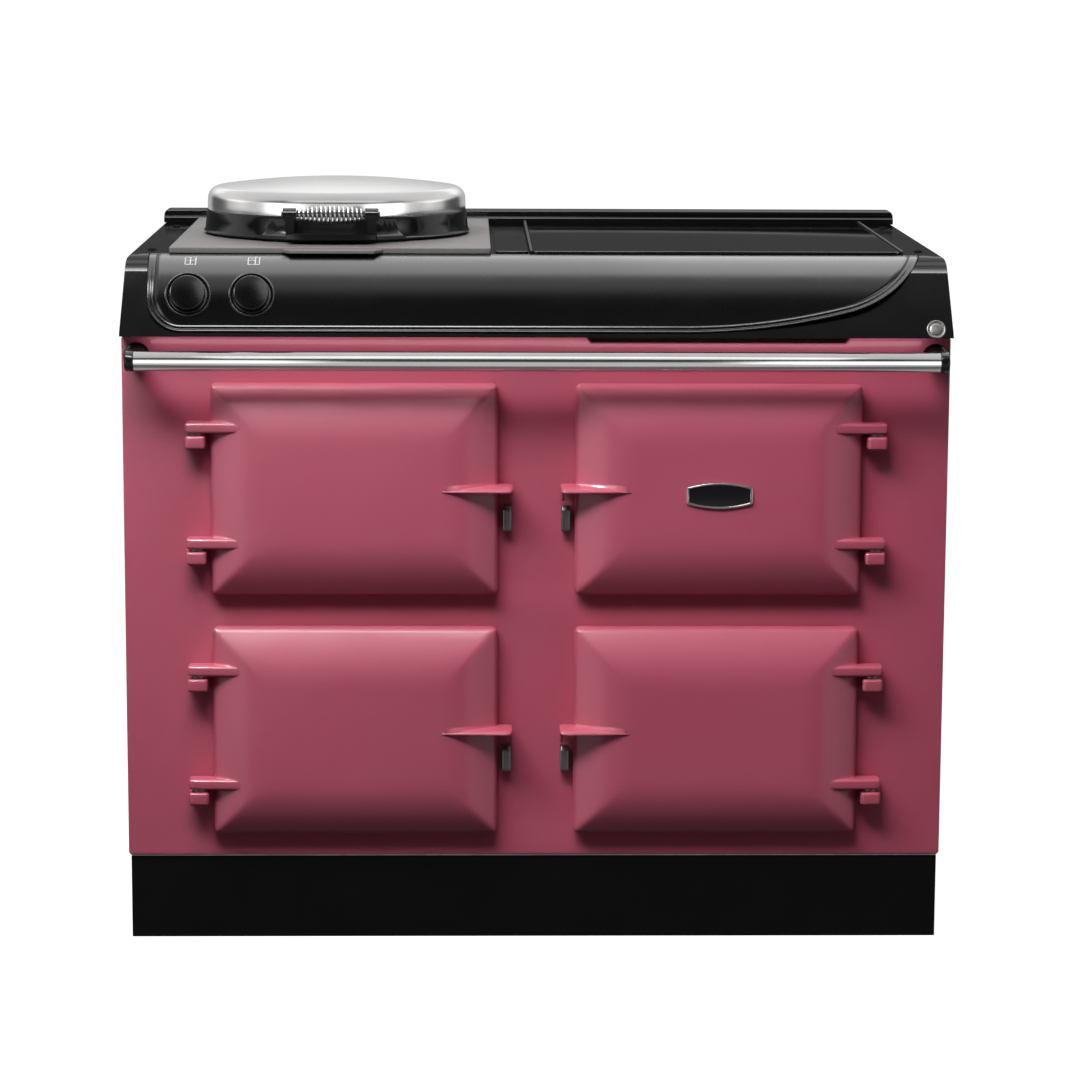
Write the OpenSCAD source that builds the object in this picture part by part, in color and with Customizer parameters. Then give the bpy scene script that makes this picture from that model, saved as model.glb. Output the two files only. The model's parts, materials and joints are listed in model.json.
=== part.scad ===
// Free-standing cast iron range cooker with four doors, a round lidded
// hotplate, a flush glass hob, a towel rail and two control knobs.
// Millimetres. X runs to the right, the front faces -Y, Z is up.
// The origin is on the floor, at the middle of the whole outline.

/* [Body] */
// Overall width of the castings
body_w = 1098; // [1094:1:1102]
// Front face of the front panel, measured from the middle of the depth
panel_y = -266; // [-267:0.5:-265]
// Back face of the cooker
back_y = 349; // [347:1:351]
// Height of the plinth
plinth_h = 113; // [110:1:115]
// Height of the top surface above the floor
top_z = 925; // [925:1:926]
// Thickness of the cast front panel
panel_t = 12; // [11:0.5:13]

/* [Doors] */
// Width of a door
door_w = 381; // [378:1:383]
// Height of a door
door_h = 283; // [280:1:285]
// Thickness of a door at its flat middle
door_t = 38; // [34:1:39]
// Thickness of a door at its rim, before the rounded edge
door_rim_t = 14; // [12:1:16]
// Width of the sloping facets around the flat middle
facet_w = 79; // [70:1:82]
// Distance of a door's middle from the cooker's middle
door_cx = 241.5; // [240:0.5:242.5]
// Height of the middle of the upper doors
door_top_cz = 617.5; // [616:0.5:619]
// Height of the middle of the lower doors
door_low_cz = 290.5; // [289:0.5:292]
// Distance of the hinge pins from the cooker's middle
hinge_x = 451; // [450.5:0.5:452]
// Distance of the hinge pins in front of the panel
hinge_off = 18; // [17.5:0.5:18.5]

/* [Ovens] */
// Width of an oven mouth
mouth_w = 334; // [330:1:336]
// Height of an oven mouth
mouth_h = 246; // [242:1:248]
// Depth of an oven behind the panel
oven_d = 434; // [400:1:440]

/* [Fascia] */
// Depth of the fascia's curve, front to back
fascia_a = 77; // [76:0.5:78]
// Height of the fascia's curve
fascia_b = 97; // [96:0.5:98]
// Backward tilt of the knobs
knob_tilt = 20; // [18:1:22]
// Radius of a knob's cap
knob_r = 23.5; // [22:0.5:24]
// Radius of a knob's bezel
bezel_r = 31; // [28:0.5:31.5]

/* [Hotplate and lid] */
// Middle of the hotplate, left of the cooker's middle
lid_x = -275; // [-276:0.5:-274]
// Middle of the hotplate, front to back
lid_y = 48; // [46:0.5:50]
// Radius of the lid's ring at its foot
lid_r = 185.5; // [184:0.5:187]
// Radius of the hotplate
plate_r = 160; // [155:1:161]
// Turns in the coil handle
coil_turns = 15; // [12:1:18]

/* [Rail] */
// Radius of the towel rail
rail_r = 13; // [12:0.5:13.5]
// Distance of the rail's axis in front of the panel
rail_off = 66; // [64:1:66]
// Height of the rail's axis
rail_z = 794.5; // [793:0.5:795]

/* [Hidden] */
$fn = 64;

hw = body_w / 2;               // half width of the castings
cast_z = 822;                  // underside of the top casting
slab = 10;                     // thickness of the top casting's slab
pink = [0.62, 0.27, 0.34];
black = [0.06, 0.06, 0.065];
steel = [0.72, 0.72, 0.73];
grey = [0.42, 0.40, 0.39];
iron = [0.2, 0.2, 0.2];

// ---------------------------------------------------------------- helpers

// Rectangle from corner to corner with round corners
module rrect(x0, y0, x1, y1, r) {
    translate([x0 + r, y0]) square([x1 - x0 - 2 * r, y1 - y0]);
    translate([x0, y0 + r]) square([x1 - x0, y1 - y0 - 2 * r]);
    for (x = [x0 + r, x1 - r], y = [y0 + r, y1 - r])
        translate([x, y]) circle(r);
}

// Extrudes a front view outline (X, Z) between two depths
module slab_y(y0, y1) {
    translate([0, y1, 0]) rotate([90, 0, 0]) linear_extrude(y1 - y0)
        children();
}

// Extrudes a side view outline (Y, Z) between two X positions
module bar_x(x0, x1) {
    translate([x0, 0, 0]) rotate([90, 0, 90]) linear_extrude(x1 - x0)
        children();
}

// Box from corner to corner
module box(x0, y0, z0, x1, y1, z1) {
    translate([x0, y0, z0]) cube([x1 - x0, y1 - y0, z1 - z0]);
}

// Cylinder along X, Y
module cyl_x(x0, x1, y, z, r) {
    translate([x0, y, z]) rotate([0, 90, 0]) cylinder(h = x1 - x0, r = r);
}
module cyl_y(x, y0, y1, z, r) {
    translate([x, y0, z]) rotate([-90, 0, 0]) cylinder(h = y1 - y0, r = r);
}

// Points of an arc, centre c, radius r, angle a0 to a1, n steps
function arc(c, r, a0, a1, n) = [for (i = [0:n])
    [c[0] + r * cos(a0 + (a1 - a0) * i / n),
     c[1] + r * sin(a0 + (a1 - a0) * i / n)]];

// ------------------------------------------------------------ lower casing

module plinth() {
    color(black) {
        // four folded walls, the front one nearly flush with the panel
        box(-hw + 3, panel_y + 4, 0, hw - 3, panel_y + 7, plinth_h);
        box(-hw + 3, panel_y + 7, 0, -hw + 6, back_y - 30, plinth_h);
        box(hw - 6, panel_y + 7, 0, hw - 3, back_y - 30, plinth_h);
        box(-hw + 3, back_y - 30, 0, hw - 3, back_y - 27, plinth_h);
    }
}

foot_x = 480;
module levelling_feet() {
    color(iron)
        for (x = [-foot_x, 0, foot_x], y = [panel_y + 60, back_y - 80])
            translate([x, y, 0]) {
                cylinder(h = 8, r = 25);
                translate([0, 0, 8]) cylinder(h = 10, r = 12, $fn = 6);
                cylinder(h = plinth_h, r = 8);
            }
}

module base_tray() {
    color(iron) difference() {
        union() {
            box(-hw + 3, panel_y + panel_t, plinth_h, hw - 3, back_y - 3,
                plinth_h + 8);
            // ledge that carries the front panel
            box(-hw + 3, panel_y + 4, plinth_h, hw - 3,
                panel_y + panel_t + 1, plinth_h + 2);
        }
        box(-hw + 5, panel_y + panel_t + 2, plinth_h + 2, hw - 5,
            back_y - 5, plinth_h + 9);
    }
}

module side_panel(s) {
    color(pink) union() {
        if (s < 0) {
            box(-hw + 2, panel_y + panel_t, plinth_h + 8, -hw + 5,
                back_y - 3, cast_z);
            box(-hw + 5, back_y - 23, plinth_h + 8, -hw + 25, back_y - 20,
                cast_z - 2);
            box(-hw + 5, panel_y + panel_t, plinth_h + 8, -hw + 25,
                panel_y + panel_t + 3, cast_z - 2);
        } else mirror([1, 0, 0]) side_panel(-1);
    }
}
module side_panel_left() side_panel(-1);
module side_panel_right() side_panel(1);

// screw places of the back panel
back_screws = [for (x = [-520, -260, 0, 260, 520], z = [135, 800])
    [x, z]];
module back_panel() {
    color([0.55, 0.56, 0.57]) difference() {
        box(-hw + 2, back_y - 3, plinth_h + 8, hw - 2, back_y,
            cast_z);
        // two banks of vent slots
        for (s = [-1, 1], i = [0:7])
            slab_y(back_y - 4, back_y + 1)
                rrect(s * 300 - 110, 560 + i * 22, s * 300 + 110,
                    566 + i * 22, 2.9);
        // opening for the terminal box
        box(300, back_y - 4, 150, 420, back_y + 1, 250);
        for (p = back_screws) cyl_y(p[0], back_y - 4, back_y + 1, p[1], 2.5);
    }
}
module back_panel_screws() {
    color(steel) for (p = back_screws) union() {
        cyl_y(p[0], back_y - 12, back_y, p[1], 2.1);
        cyl_y(p[0], back_y - 5, back_y - 3, p[1], 4.5);
    }
}

// middles of the four doors and ovens
door_places = [[-1, door_top_cz], [1, door_top_cz],
    [-1, door_low_cz], [1, door_low_cz]];

// lower faces of a door's upper and lower lug, from the door's middle
lug_dz = [77, -78];
lug_h = 14;
bracket_h = 17;

module front_panel() {
    color(pink) difference() {
        slab_y(panel_y, panel_y + panel_t)
            rrect(-hw, plinth_h + 2, hw, cast_z - 1, 5);
        // oven mouths, with a groove for the seal rope round each
        for (p = door_places) {
            slab_y(panel_y - 1, panel_y + panel_t + 1)
                rrect(p[0] * door_cx - mouth_w / 2, p[1] - mouth_h / 2,
                    p[0] * door_cx + mouth_w / 2, p[1] + mouth_h / 2, 14);
            slab_y(panel_y - 1, panel_y + 5)
                rrect(p[0] * door_cx - 180, p[1] - 136,
                    p[0] * door_cx + 180, p[1] + 136, 20);
        }
        // shallow vent notch in the top edge
        slab_y(panel_y - 1, panel_y + panel_t + 1)
            polygon([[65, cast_z], [71, 812.5], [410, 812.5],
                [416, cast_z]]);
    }
}

module door_seal_ropes() {
    color([0.35, 0.34, 0.32])
        for (p = door_places)
            slab_y(panel_y - 2.6, panel_y + 5) difference() {
                rrect(p[0] * door_cx - 179.5, p[1] - 135.5,
                    p[0] * door_cx + 179.5, p[1] + 135.5, 19.5);
                rrect(p[0] * door_cx - 169.5, p[1] - 125.5,
                    p[0] * door_cx + 169.5, p[1] + 125.5, 12);
            }
}

// ------------------------------------------------------------------ ovens

module oven_liner(s, cz) {
    cx = s * door_cx;
    y0 = panel_y + panel_t;
    color(iron) union() {
        difference() {
            union() {
                slab_y(y0, y0 + oven_d + 10)
                    rrect(cx - mouth_w / 2 - 9, cz - mouth_h / 2 - 9,
                        cx + mouth_w / 2 + 9, cz + mouth_h / 2 + 9, 22);
                slab_y(y0, y0 + 6)
                    rrect(cx - mouth_w / 2 - 22, cz - mouth_h / 2 - 22,
                        cx + mouth_w / 2 + 22, cz + mouth_h / 2 + 22, 10);
            }
            slab_y(y0 - 1, y0 + oven_d)
                rrect(cx - mouth_w / 2, cz - mouth_h / 2,
                    cx + mouth_w / 2, cz + mouth_h / 2, 14);
        }
        // shelf runners
        for (k = [-1, 1], dz = [-66, -14, 38])
            box(cx + (k < 0 ? -mouth_w / 2 - 1 : mouth_w / 2 - 10),
                y0 + 24, cz + dz,
                cx + (k < 0 ? -mouth_w / 2 + 10 : mouth_w / 2 + 1),
                y0 + oven_d - 20, cz + dz + 6);
    }
}
module oven_liner_top_left() oven_liner(-1, door_top_cz);
module oven_liner_top_right() oven_liner(1, door_top_cz);
module oven_liner_bottom_left() oven_liner(-1, door_low_cz);
module oven_liner_bottom_right() oven_liner(1, door_low_cz);

module oven_shelf(cx, cz) {
    y0 = panel_y + panel_t + 30;
    y1 = panel_y + panel_t + oven_d - 24;
    z = cz - 60 + 3;
    w = mouth_w / 2 - 4;
    union() {
        for (k = [-1, 1]) cyl_y(cx + k * (w - 3), y0, y1, z, 3);
        for (y = [y0 + 3, y1 - 3])
            cyl_x(cx - w + 3, cx + w - 3, y, z, 2.9);
        cyl_x(cx - w + 3, cx + w - 3, (y0 + y1) / 2, z, 2.5);
        for (i = [-5:5])
            cyl_y(cx + i * 27, y0 + 2, y1 - 2, z + 1, 1.7);
    }
}
module oven_shelves() {
    color(steel) for (p = door_places) oven_shelf(p[0] * door_cx, p[1]);
}

module oven_elements() {
    // flat plate elements clamped under each oven
    color([0.5, 0.5, 0.48]) for (p = door_places) union() {
        box(p[0] * door_cx - 140, panel_y + panel_t + 30,
            p[1] - mouth_h / 2 - 15, p[0] * door_cx + 140,
            panel_y + panel_t + 410, p[1] - mouth_h / 2 - 9);
        for (k = [-1, 1])
            cyl_y(p[0] * door_cx + k * 20, panel_y + panel_t + 405,
                panel_y + panel_t + 440, p[1] - mouth_h / 2 - 12, 2.8);
    }
}

module insulation_jacket() {
    y0 = panel_y + panel_t + 6;
    color([0.75, 0.7, 0.55]) difference() {
        box(-hw + 30, y0, plinth_h + 2, hw - 30, back_y - 60, 805);
        for (p = door_places) {
            slab_y(y0 - 1, panel_y + panel_t + oven_d + 10)
                rrect(p[0] * door_cx - mouth_w / 2 - 9,
                    p[1] - mouth_h / 2 - 9, p[0] * door_cx + mouth_w / 2 + 9,
                    p[1] + mouth_h / 2 + 9, 22);
            box(p[0] * door_cx - 145, panel_y + panel_t + 25,
                p[1] - mouth_h / 2 - 16, p[0] * door_cx + 145,
                panel_y + panel_t + 445, p[1] - mouth_h / 2);
        }
    }
}

// ------------------------------------------------------------------ doors

// Thickness of the door at distance d from its edge
door_arc_r = (pow(facet_w, 2) + pow(door_t - door_rim_t, 2))
    / (2 * (door_t - door_rim_t));
function door_th(d) = d >= facet_w ? door_t
    : door_t - (door_arc_r - sqrt(pow(door_arc_r, 2)
        - pow(facet_w - d, 2)));
// Rounded rim: a quadratic curve from the side wall to the facet
rim = 7;
function rim_pt(t) = [pow(t, 2) * rim,
    pow(1 - t, 2) * 8 + 2 * t * (1 - t) * (door_th(rim) - 4)
    + pow(t, 2) * door_th(rim)];
function half_section() = concat(
    [for (i = [0:6]) rim_pt(i / 6)],
    [for (i = [1:9]) let (d = rim + (facet_w - rim) * i / 9)
        [d, door_th(d)]]);
// Section across a door of width w: distance from its middle, thickness
function door_section(w) = concat([[-w / 2, 0]],
    [for (p = half_section()) [-w / 2 + p[0], p[1]]],
    [for (i = [len(half_section()) - 1:-1:0])
        [w / 2 - half_section()[i][0], half_section()[i][1]]],
    [[w / 2, 0]]);

back_gap = 3;      // panel face to door back

// A door with its middle at the origin, on the panel's face, hinges at -X
module door_shape(holes = true) {
    ax = door_cx - hinge_x;     // hinge axis
    difference() {
        union() {
            // the crown is where two curved bars meet, so its hips run in
            // from the corners and fade out at the flat middle
            intersection() {
                translate([0, -back_gap, -door_h / 2])
                    linear_extrude(door_h) mirror([0, 1])
                        polygon(door_section(door_w));
                translate([0, -back_gap, 0]) mirror([0, 1, 0])
                    bar_x(-door_w / 2, door_w / 2)
                        polygon([for (p = door_section(door_h))
                            [p[1], p[0]]]);
                slab_y(-60, 0) rrect(-door_w / 2, -door_h / 2,
                    door_w / 2, door_h / 2, 9);
            }
            // hinge lugs: a knuckle and a strap that runs into the face
            for (dz = lug_dz) translate([0, 0, dz]) {
                linear_extrude(lug_h) rrect(ax - 13.5, -hinge_off - 13.5,
                    ax + 13.5, -hinge_off + 13.5, 5);
                linear_extrude(lug_h) polygon([
                    [ax, -hinge_off + 13.5], [-door_w / 2 + 2, -6],
                    [-door_w / 2 + 12, -10], [-door_w / 2 + 44, -24],
                    [-door_w / 2 + 44, -35], [-door_w / 2 + 20, -33.6],
                    [ax, -hinge_off - 13.5]]);
            }
            // latch blade with a small hook at its outer end
            linear_extrude(6) polygon([
                [door_w / 2 - 72, -41.4], [door_w / 2 - 40, -45],
                [door_w / 2 + 12, -46.5], [door_w / 2 + 18, -42],
                [door_w / 2 + 19, -12], [door_w / 2 + 15, -7],
                [door_w / 2 - 4, -6], [door_w / 2 - 30, -22]]);
            translate([door_w / 2 + 14, -40, -8]) cube([5, 26, 10]);
        }
        // hollow behind
        slab_y(-21, 0) rrect(-165, -115, 165, 115, 10);
        // blind bores for the hinge pins
        if (holes) for (dz = lug_dz)
            translate([ax, -hinge_off, dz - 1])
                cylinder(h = 11, r = 4.55);
    }
}
module door(s, cz) {
    color(pink) translate([s * door_cx, panel_y, cz])
        if (s < 0) door_shape(); else mirror([1, 0, 0]) door_shape();
}
module door_top_left() door(-1, door_top_cz);
module door_top_right() door(1, door_top_cz);
module door_bottom_left() door(-1, door_low_cz);
module door_bottom_right() door(1, door_low_cz);

// pressed inner plate that plugs the oven mouth, screwed to the door
module door_liner(s, cz) {
    color([0.7, 0.7, 0.7]) translate([s * door_cx, panel_y, cz])
        difference() {
            slab_y(-21, 16) rrect(-161, -112, 161, 112, 9);
            slab_y(-22, 14) rrect(-159, -110, 159, 110, 7);
        }
}
module door_liner_top_left() door_liner(-1, door_top_cz);
module door_liner_top_right() door_liner(1, door_top_cz);
module door_liner_bottom_left() door_liner(-1, door_low_cz);
module door_liner_bottom_right() door_liner(1, door_low_cz);

// places of the hinges: x, lower face of the lug
hinge_places = [for (p = door_places, dz = lug_dz)
    [p[0] * hinge_x, p[1] + dz]];
lug_gap = 4;       // bracket top to lug

module hinge_brackets() {
    ay = panel_y - hinge_off;
    color(pink) for (h = hinge_places)
        translate([h[0], 0, h[1] - lug_gap - bracket_h]) difference() {
            union() {
                linear_extrude(bracket_h)
                    rrect(-13.5, ay - 15, 13.5, ay + 6, 5);
                translate([-13.5, ay - 5, 0])
                    cube([27, hinge_off + 5, bracket_h]);
            }
            translate([0, ay, -1]) cylinder(h = bracket_h + 2, r = 4.5);
        }
}
module hinge_pins() {
    color(steel) for (h = hinge_places)
        translate([h[0], panel_y - hinge_off,
            h[1] - lug_gap - bracket_h])
            cylinder(h = bracket_h + lug_gap + 9, r = 4.5);
}
module hinge_washers() {
    color([0.3, 0.3, 0.3]) for (h = hinge_places)
        translate([h[0], panel_y - hinge_off, h[1] - lug_gap])
            difference() {
                cylinder(h = 3.8, r = 10);
                translate([0, 0, -1]) cylinder(h = 6, r = 4.5);
            }
}

// catches: a steel block on the panel beside each door's free edge
catch_places = [for (p = door_places) [p[0] * 39, p[1] - 39]];
module door_catches() {
    color(steel) for (c = catch_places) difference() {
        union() {
            slab_y(panel_y - 16, panel_y)
                rrect(c[0] - 5.7, c[1] - 17, c[0] + 5.7, c[1] + 17, 2.4);
            cyl_y(c[0], panel_y - 18, panel_y, c[1] - 11, 3);
        }
        cyl_y(c[0], panel_y - 17, panel_y + 1, c[1] + 8, 2.1);
    }
}

// ------------------------------------------------------------ top casting

// side view outline: sloping cheek, bullnose, flat top
cheek_arc = arc([-220.5, top_z - 38], 38, 154.3, 90, 12);
module top_profile() {
    polygon(concat([[panel_y - 28, cast_z]], cheek_arc,
        [[back_y, top_z], [back_y, cast_z]]));
}
module top_inner_profile() {
    polygon([[panel_y - 19, cast_z - 5], [panel_y + 20, top_z - 22],
        [panel_y + 30, top_z - slab], [back_y - 8, top_z - slab],
        [back_y - 8, cast_z - 5]]);
}

// front outline of the fascia, inset by o
fl = -513;         // left edge
fb = cast_z + 6;   // bottom edge
c1 = [193.3, fb + 900];
c2 = [c1[0] + 740 * sin(14), c1[1] - 740 * cos(14)];
module fascia_outline(o, ztop = 940) {
    polygon(concat(
        [[fl + o, ztop]],
        arc([fl + 45, fb + 45], 45 - o, 180, 270, 10),
        arc(c1, 900 - o, 270, 284, 8),
        arc(c2, 160 - o, 285, 332, 14),
        [[c2[0] + (160 - o) * cos(332), ztop]]));
}

module top_casting() {
    color(black) difference() {
        intersection() {
            bar_x(-hw, hw) top_profile();
            // front view outline: ends that lean in a little, rounded on top
            slab_y(-400, 400) polygon(concat(
                [[-hw, cast_z - 20], [hw, cast_z - 20], [hw, cast_z + 5],
                 [hw - 5.6, top_z - 9]],
                arc([hw - 14, top_z - 8], 8, 0, 90, 5),
                arc([-hw + 14, top_z - 8], 8, 90, 180, 5),
                [[-hw + 5.6, top_z - 9], [-hw, cast_z + 5]]));
        }
        bar_x(-hw + 11, hw - 11) top_inner_profile();
        // window for the fascia
        slab_y(-400, -213.5) fascia_outline(-1.2);
        // hole for the hotplate, cut-out for the hob
        translate([lid_x, lid_y, cast_z]) cylinder(h = 200, r = 164);
        box(10, -197, top_z - 20, 471, 172, top_z + 5);
        // seat for the roundel
        roundel_place() translate([0, 0, -2]) cylinder(h = 30, r = 13.3);
        // screw holes
        for (p = top_screw_places)
            translate([p[0], p[1], top_z - slab - 1])
                cylinder(h = slab + 2, r = 3.05);
    }
}

top_screw_places = [for (x = [-516, 516], y = [-161, 246]) [x, y]];
module top_screws() {
    color(black) for (p = top_screw_places)
        translate([p[0], p[1], 0]) union() {
            translate([0, 0, top_z - 14]) cylinder(h = 14, r = 3);
            translate([0, 0, top_z])
                cylinder(h = 2.4, r1 = 6.5, r2 = 4.5);
        }
}

// side view of the fascia shell: outer curve a, b, wall t
module fascia_section(a, b, t) {
    cy = -214.5;
    cz = top_z - fascia_b;
    polygon(concat(
        [for (i = [0:24]) let (u = 90 * i / 24)
            [cy - a * cos(u), cz + b * sin(u)]],
        [for (i = [24:-1:0]) let (u = 90 * i / 24)
            [cy - (a - t) * cos(u), cz + (b - t) * sin(u)]]));
}
module control_fascia() {
    color(black) difference() {
        union() {
            // ground of the double rim line
            intersection() {
                slab_y(-400, -214.5) fascia_outline(0);
                bar_x(-hw, hw)
                    fascia_section(fascia_a - 1.5, fascia_b - 1.5, 5);
            }
            // smooth convex panel
            intersection() {
                slab_y(-400, -214.5) fascia_outline(5.5);
                bar_x(-hw, hw)
                    fascia_section(fascia_a, fascia_b, 6);
            }
            // raised rim
            intersection() {
                slab_y(-400, -214.5) difference() {
                    fascia_outline(0);
                    fascia_outline(2.5);
                }
                bar_x(-hw, hw)
                    fascia_section(fascia_a + 0.5, fascia_b, 6);
            }
            // tab that hangs the fascia under the top slab
            box(-480, -222, top_z - 14, 440, -207.5, top_z - slab);
            box(-480, -222, top_z - 14, 440, -216, top_z - 4);
            // bosses behind the knobs
            intersection() {
                for (x = knob_places) knob_place(x)
                    translate([0, 0, -17]) cylinder(h = 16, r = 34);
                bar_x(-hw, hw) fascia_section(fascia_a - 1,
                    fascia_b - 1, 60);
            }
        }
        for (x = knob_places) knob_place(x) {
            translate([0, 0, -7.5]) cylinder(h = 30, r = bezel_r + 0.3);
            translate([0, 0, -20]) cylinder(h = 30, r = 5);
        }
    }
}

knob_places = [-459, -375.5];
// frame of a knob: +Z points out along its spindle, 0 at the fascia
module knob_place(x) {
    translate([x, -281.4, 876]) rotate([90 - knob_tilt, 0, 0]) children();
}
module knob_bezels() {
    color([0.12, 0.12, 0.13]) for (x = knob_places) knob_place(x)
        rotate_extrude() polygon([[3.6, -7.5], [bezel_r, -7.5],
            [bezel_r, 0.6], [bezel_r - 2.4, 3], [knob_r - 1, 3],
            [knob_r - 3, 1.5], [3.6, 1.5]]);
}
module knob() {
    // domed cap with a chamfered edge on a round spindle
    rotate_extrude() polygon(concat([[0, -44], [3, -44], [3, 2.5],
        [knob_r - 4, 2.5], [knob_r - 2.5, 3.6], [knob_r, 4.6],
        [knob_r, 12.4], [knob_r - 0.5, 13.5], [knob_r - 1.8, 14.1]],
        [for (i = [1:6]) let (r = (knob_r - 1.8) * (1 - i / 6))
            [r, 14.1 + 2.9 * (1 - pow(r / (knob_r - 1.8), 2))]]));
}
module knob_left() { color(black) knob_place(knob_places[0]) knob(); }
module knob_right() { color(black) knob_place(knob_places[1]) knob(); }

module rotary_switches() {
    color([0.25, 0.25, 0.27]) for (x = knob_places) knob_place(x)
        difference() {
            union() {
                translate([-20, -20, -45]) cube([40, 40, 28]);
                translate([-13, -22, -49]) cube([26, 44, 4]);
            }
            translate([0, 0, -46]) cylinder(h = 40, r = 3.05);
        }
}

module roundel_place() {
    translate([526, -288.7, 833]) rotate([90 - 25.7, 0, 0]) children();
}
module corner_roundel() {
    color(steel) roundel_place() rotate_extrude() polygon([[0, -2],
        [13, -2], [13, 1.2], [12, 2.2], [10.4, 2.2], [9.6, 1.3],
        [0, 1.3]]);
}

module back_upstand() {
    color(black) intersection() {
        bar_x(-541, 541) polygon([[326, top_z], [326, top_z + 7.5],
            [327.5, top_z + 9], [330, top_z + 9.5], [330, top_z + 12],
            [328.5, top_z + 13], [328.5, top_z + 17.5],
            [331, top_z + 20.5], [back_y, top_z + 20.5],
            [back_y, top_z]]);
        slab_y(300, 360) rrect(-541, top_z - 20, 541, top_z + 20.5, 10);
    }
}

// ------------------------------------------------------- hotplate and hob

sur_z = 8;         // thickness of the surround plate
module hotplate_surround() {
    color(grey) difference() {
        union() {
            translate([0, 0, top_z]) linear_extrude(sur_z)
                rrect(-489, -217, -61, 324, 4);
            translate([0, 0, top_z + 1]) linear_extrude(5) polygon([
                [-341, -216], [-327, -235], [-216, -235],
                [-202, -216]]);
        }
        translate([lid_x, lid_y, top_z - 1])
            cylinder(h = sur_z + 2, r = 172);
        for (s = [-1, 1])
            translate([lid_x + s * 62, lid_y + 214, top_z - 1])
                cylinder(h = sur_z + 2, r = 3);
    }
}
module centre_infill() {
    color(black) translate([0, 0, top_z]) linear_extrude(3)
        rrect(-55, -206, -11, 205, 9);
}
module hotplate() {
    color(iron) translate([lid_x, lid_y, 0]) rotate_extrude()
        polygon([[0, 900], [plate_r, 900], [plate_r, top_z],
            [plate_r + 10, top_z], [plate_r + 10, top_z + 5],
            [plate_r, top_z + 5], [plate_r, top_z + 11],
            [plate_r - 2, top_z + 12.5], [0, top_z + 12.5]]);
}
module hotplate_element() {
    color([0.3, 0.28, 0.27]) translate([lid_x, lid_y, 0])
        rotate_extrude() translate([50, 890]) square([96, 10]);
}
module hotplate_well() {
    color(steel) translate([lid_x, lid_y, 0]) rotate_extrude()
        polygon([[0, 856], [176, 856], [176, top_z - slab - 2],
            [186, top_z - slab - 2], [186, top_z - slab],
            [174, top_z - slab], [174, 858], [0, 858]]);
}
module hob_glass() {
    color([0.08, 0.08, 0.09]) translate([0, 0, top_z])
        linear_extrude(4) rrect(-4.5, -215, 485.5, 190, 6);
}
module hob_side_trims() {
    color([0.4, 0.4, 0.41]) for (x = [-9, 486])
        bar_x(x, x + 4) polygon([[-212, top_z], [-212, top_z + 4],
            [-210, top_z + 5.5], [316, top_z + 5.5], [318, top_z + 4],
            [318, top_z]]);
}
coil_places = [[118, -103, 74], [118, 78, 88], [350, -8, 104]];
module induction_coils() {
    color([0.6, 0.35, 0.2]) for (c = coil_places)
        translate([c[0], c[1], 0]) union() {
            translate([0, 0, 912]) difference() {
                cylinder(h = 9, r = c[2]);
                translate([0, 0, 4]) cylinder(h = 6, r = 18);
            }
            translate([0, 0, 867]) cylinder(h = 45, r = 22);
        }
}
module hob_tray() {
    color([0.7, 0.71, 0.72]) difference() {
        union() {
            box(10, -197, 865, 471, 172, top_z - slab);
            box(0, -207, top_z - slab - 2, 481, 182, top_z - slab);
        }
        box(12, -195, 867, 469, 170, top_z);
    }
}

// -------------------------------------------------------------------- lid

ring_z = top_z + 11;     // foot of the ring
ring_h = 31;
hinge_yz = [lid_y + 214, 950];

module lid_hinge_brackets() {
    color(black) for (s = [-1, 1]) difference() {
        union() {
            bar_x(lid_x + s * 62 - 8, lid_x + s * 62 + 8)
                polygon([[hinge_yz[0] - 15, top_z + sur_z],
                    [hinge_yz[0] - 12, hinge_yz[1]],
                    [hinge_yz[0] + 12, hinge_yz[1]],
                    [hinge_yz[0] + 17, top_z + sur_z]]);
            cyl_x(lid_x + s * 62 - 8, lid_x + s * 62 + 8, hinge_yz[0],
                hinge_yz[1], 12);
        }
        cyl_x(lid_x + s * 62 - 9, lid_x + s * 62 + 9, hinge_yz[0],
            hinge_yz[1], 5);
    }
}
module lid_hinge_pin() {
    color(steel) union() {
        cyl_x(lid_x - 70, lid_x + 70, hinge_yz[0], hinge_yz[1], 5);
        cyl_x(lid_x - 73, lid_x - 70, hinge_yz[0], hinge_yz[1], 8);
        cyl_x(lid_x + 70, lid_x + 73, hinge_yz[0], hinge_yz[1], 8);
    }
}
module lid_ring() {
    color(black) difference() {
        union() {
            translate([lid_x, lid_y, 0]) rotate_extrude($fn = 180)
                polygon([[172, ring_z], [lid_r - 1, ring_z],
                    [lid_r + 0.6, ring_z + 2], [lid_r - 1.5, ring_z + 5],
                    [181, ring_z + ring_h - 2],
                    [179.5, ring_z + ring_h], [172, ring_z + ring_h]]);
            // arm and barrel at the back
            cyl_x(lid_x - 53, lid_x + 53, hinge_yz[0], hinge_yz[1], 11);
            difference() {
                box(lid_x - 53, lid_y + 172, hinge_yz[1] - 7, lid_x + 53,
                    hinge_yz[0], hinge_yz[1] + 9);
                translate([lid_x, lid_y, 900])
                    cylinder(h = 100, r = 178);
            }
        }
        cyl_x(lid_x - 54, lid_x + 54, hinge_yz[0], hinge_yz[1], 5.05);
        for (s = [-1, 1]) translate([lid_x + s * 54, 0, 0])
            cyl_y(0, lid_y - lid_r - 5, lid_y - 165, ring_z + 17, 2.6);
    }
}
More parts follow.
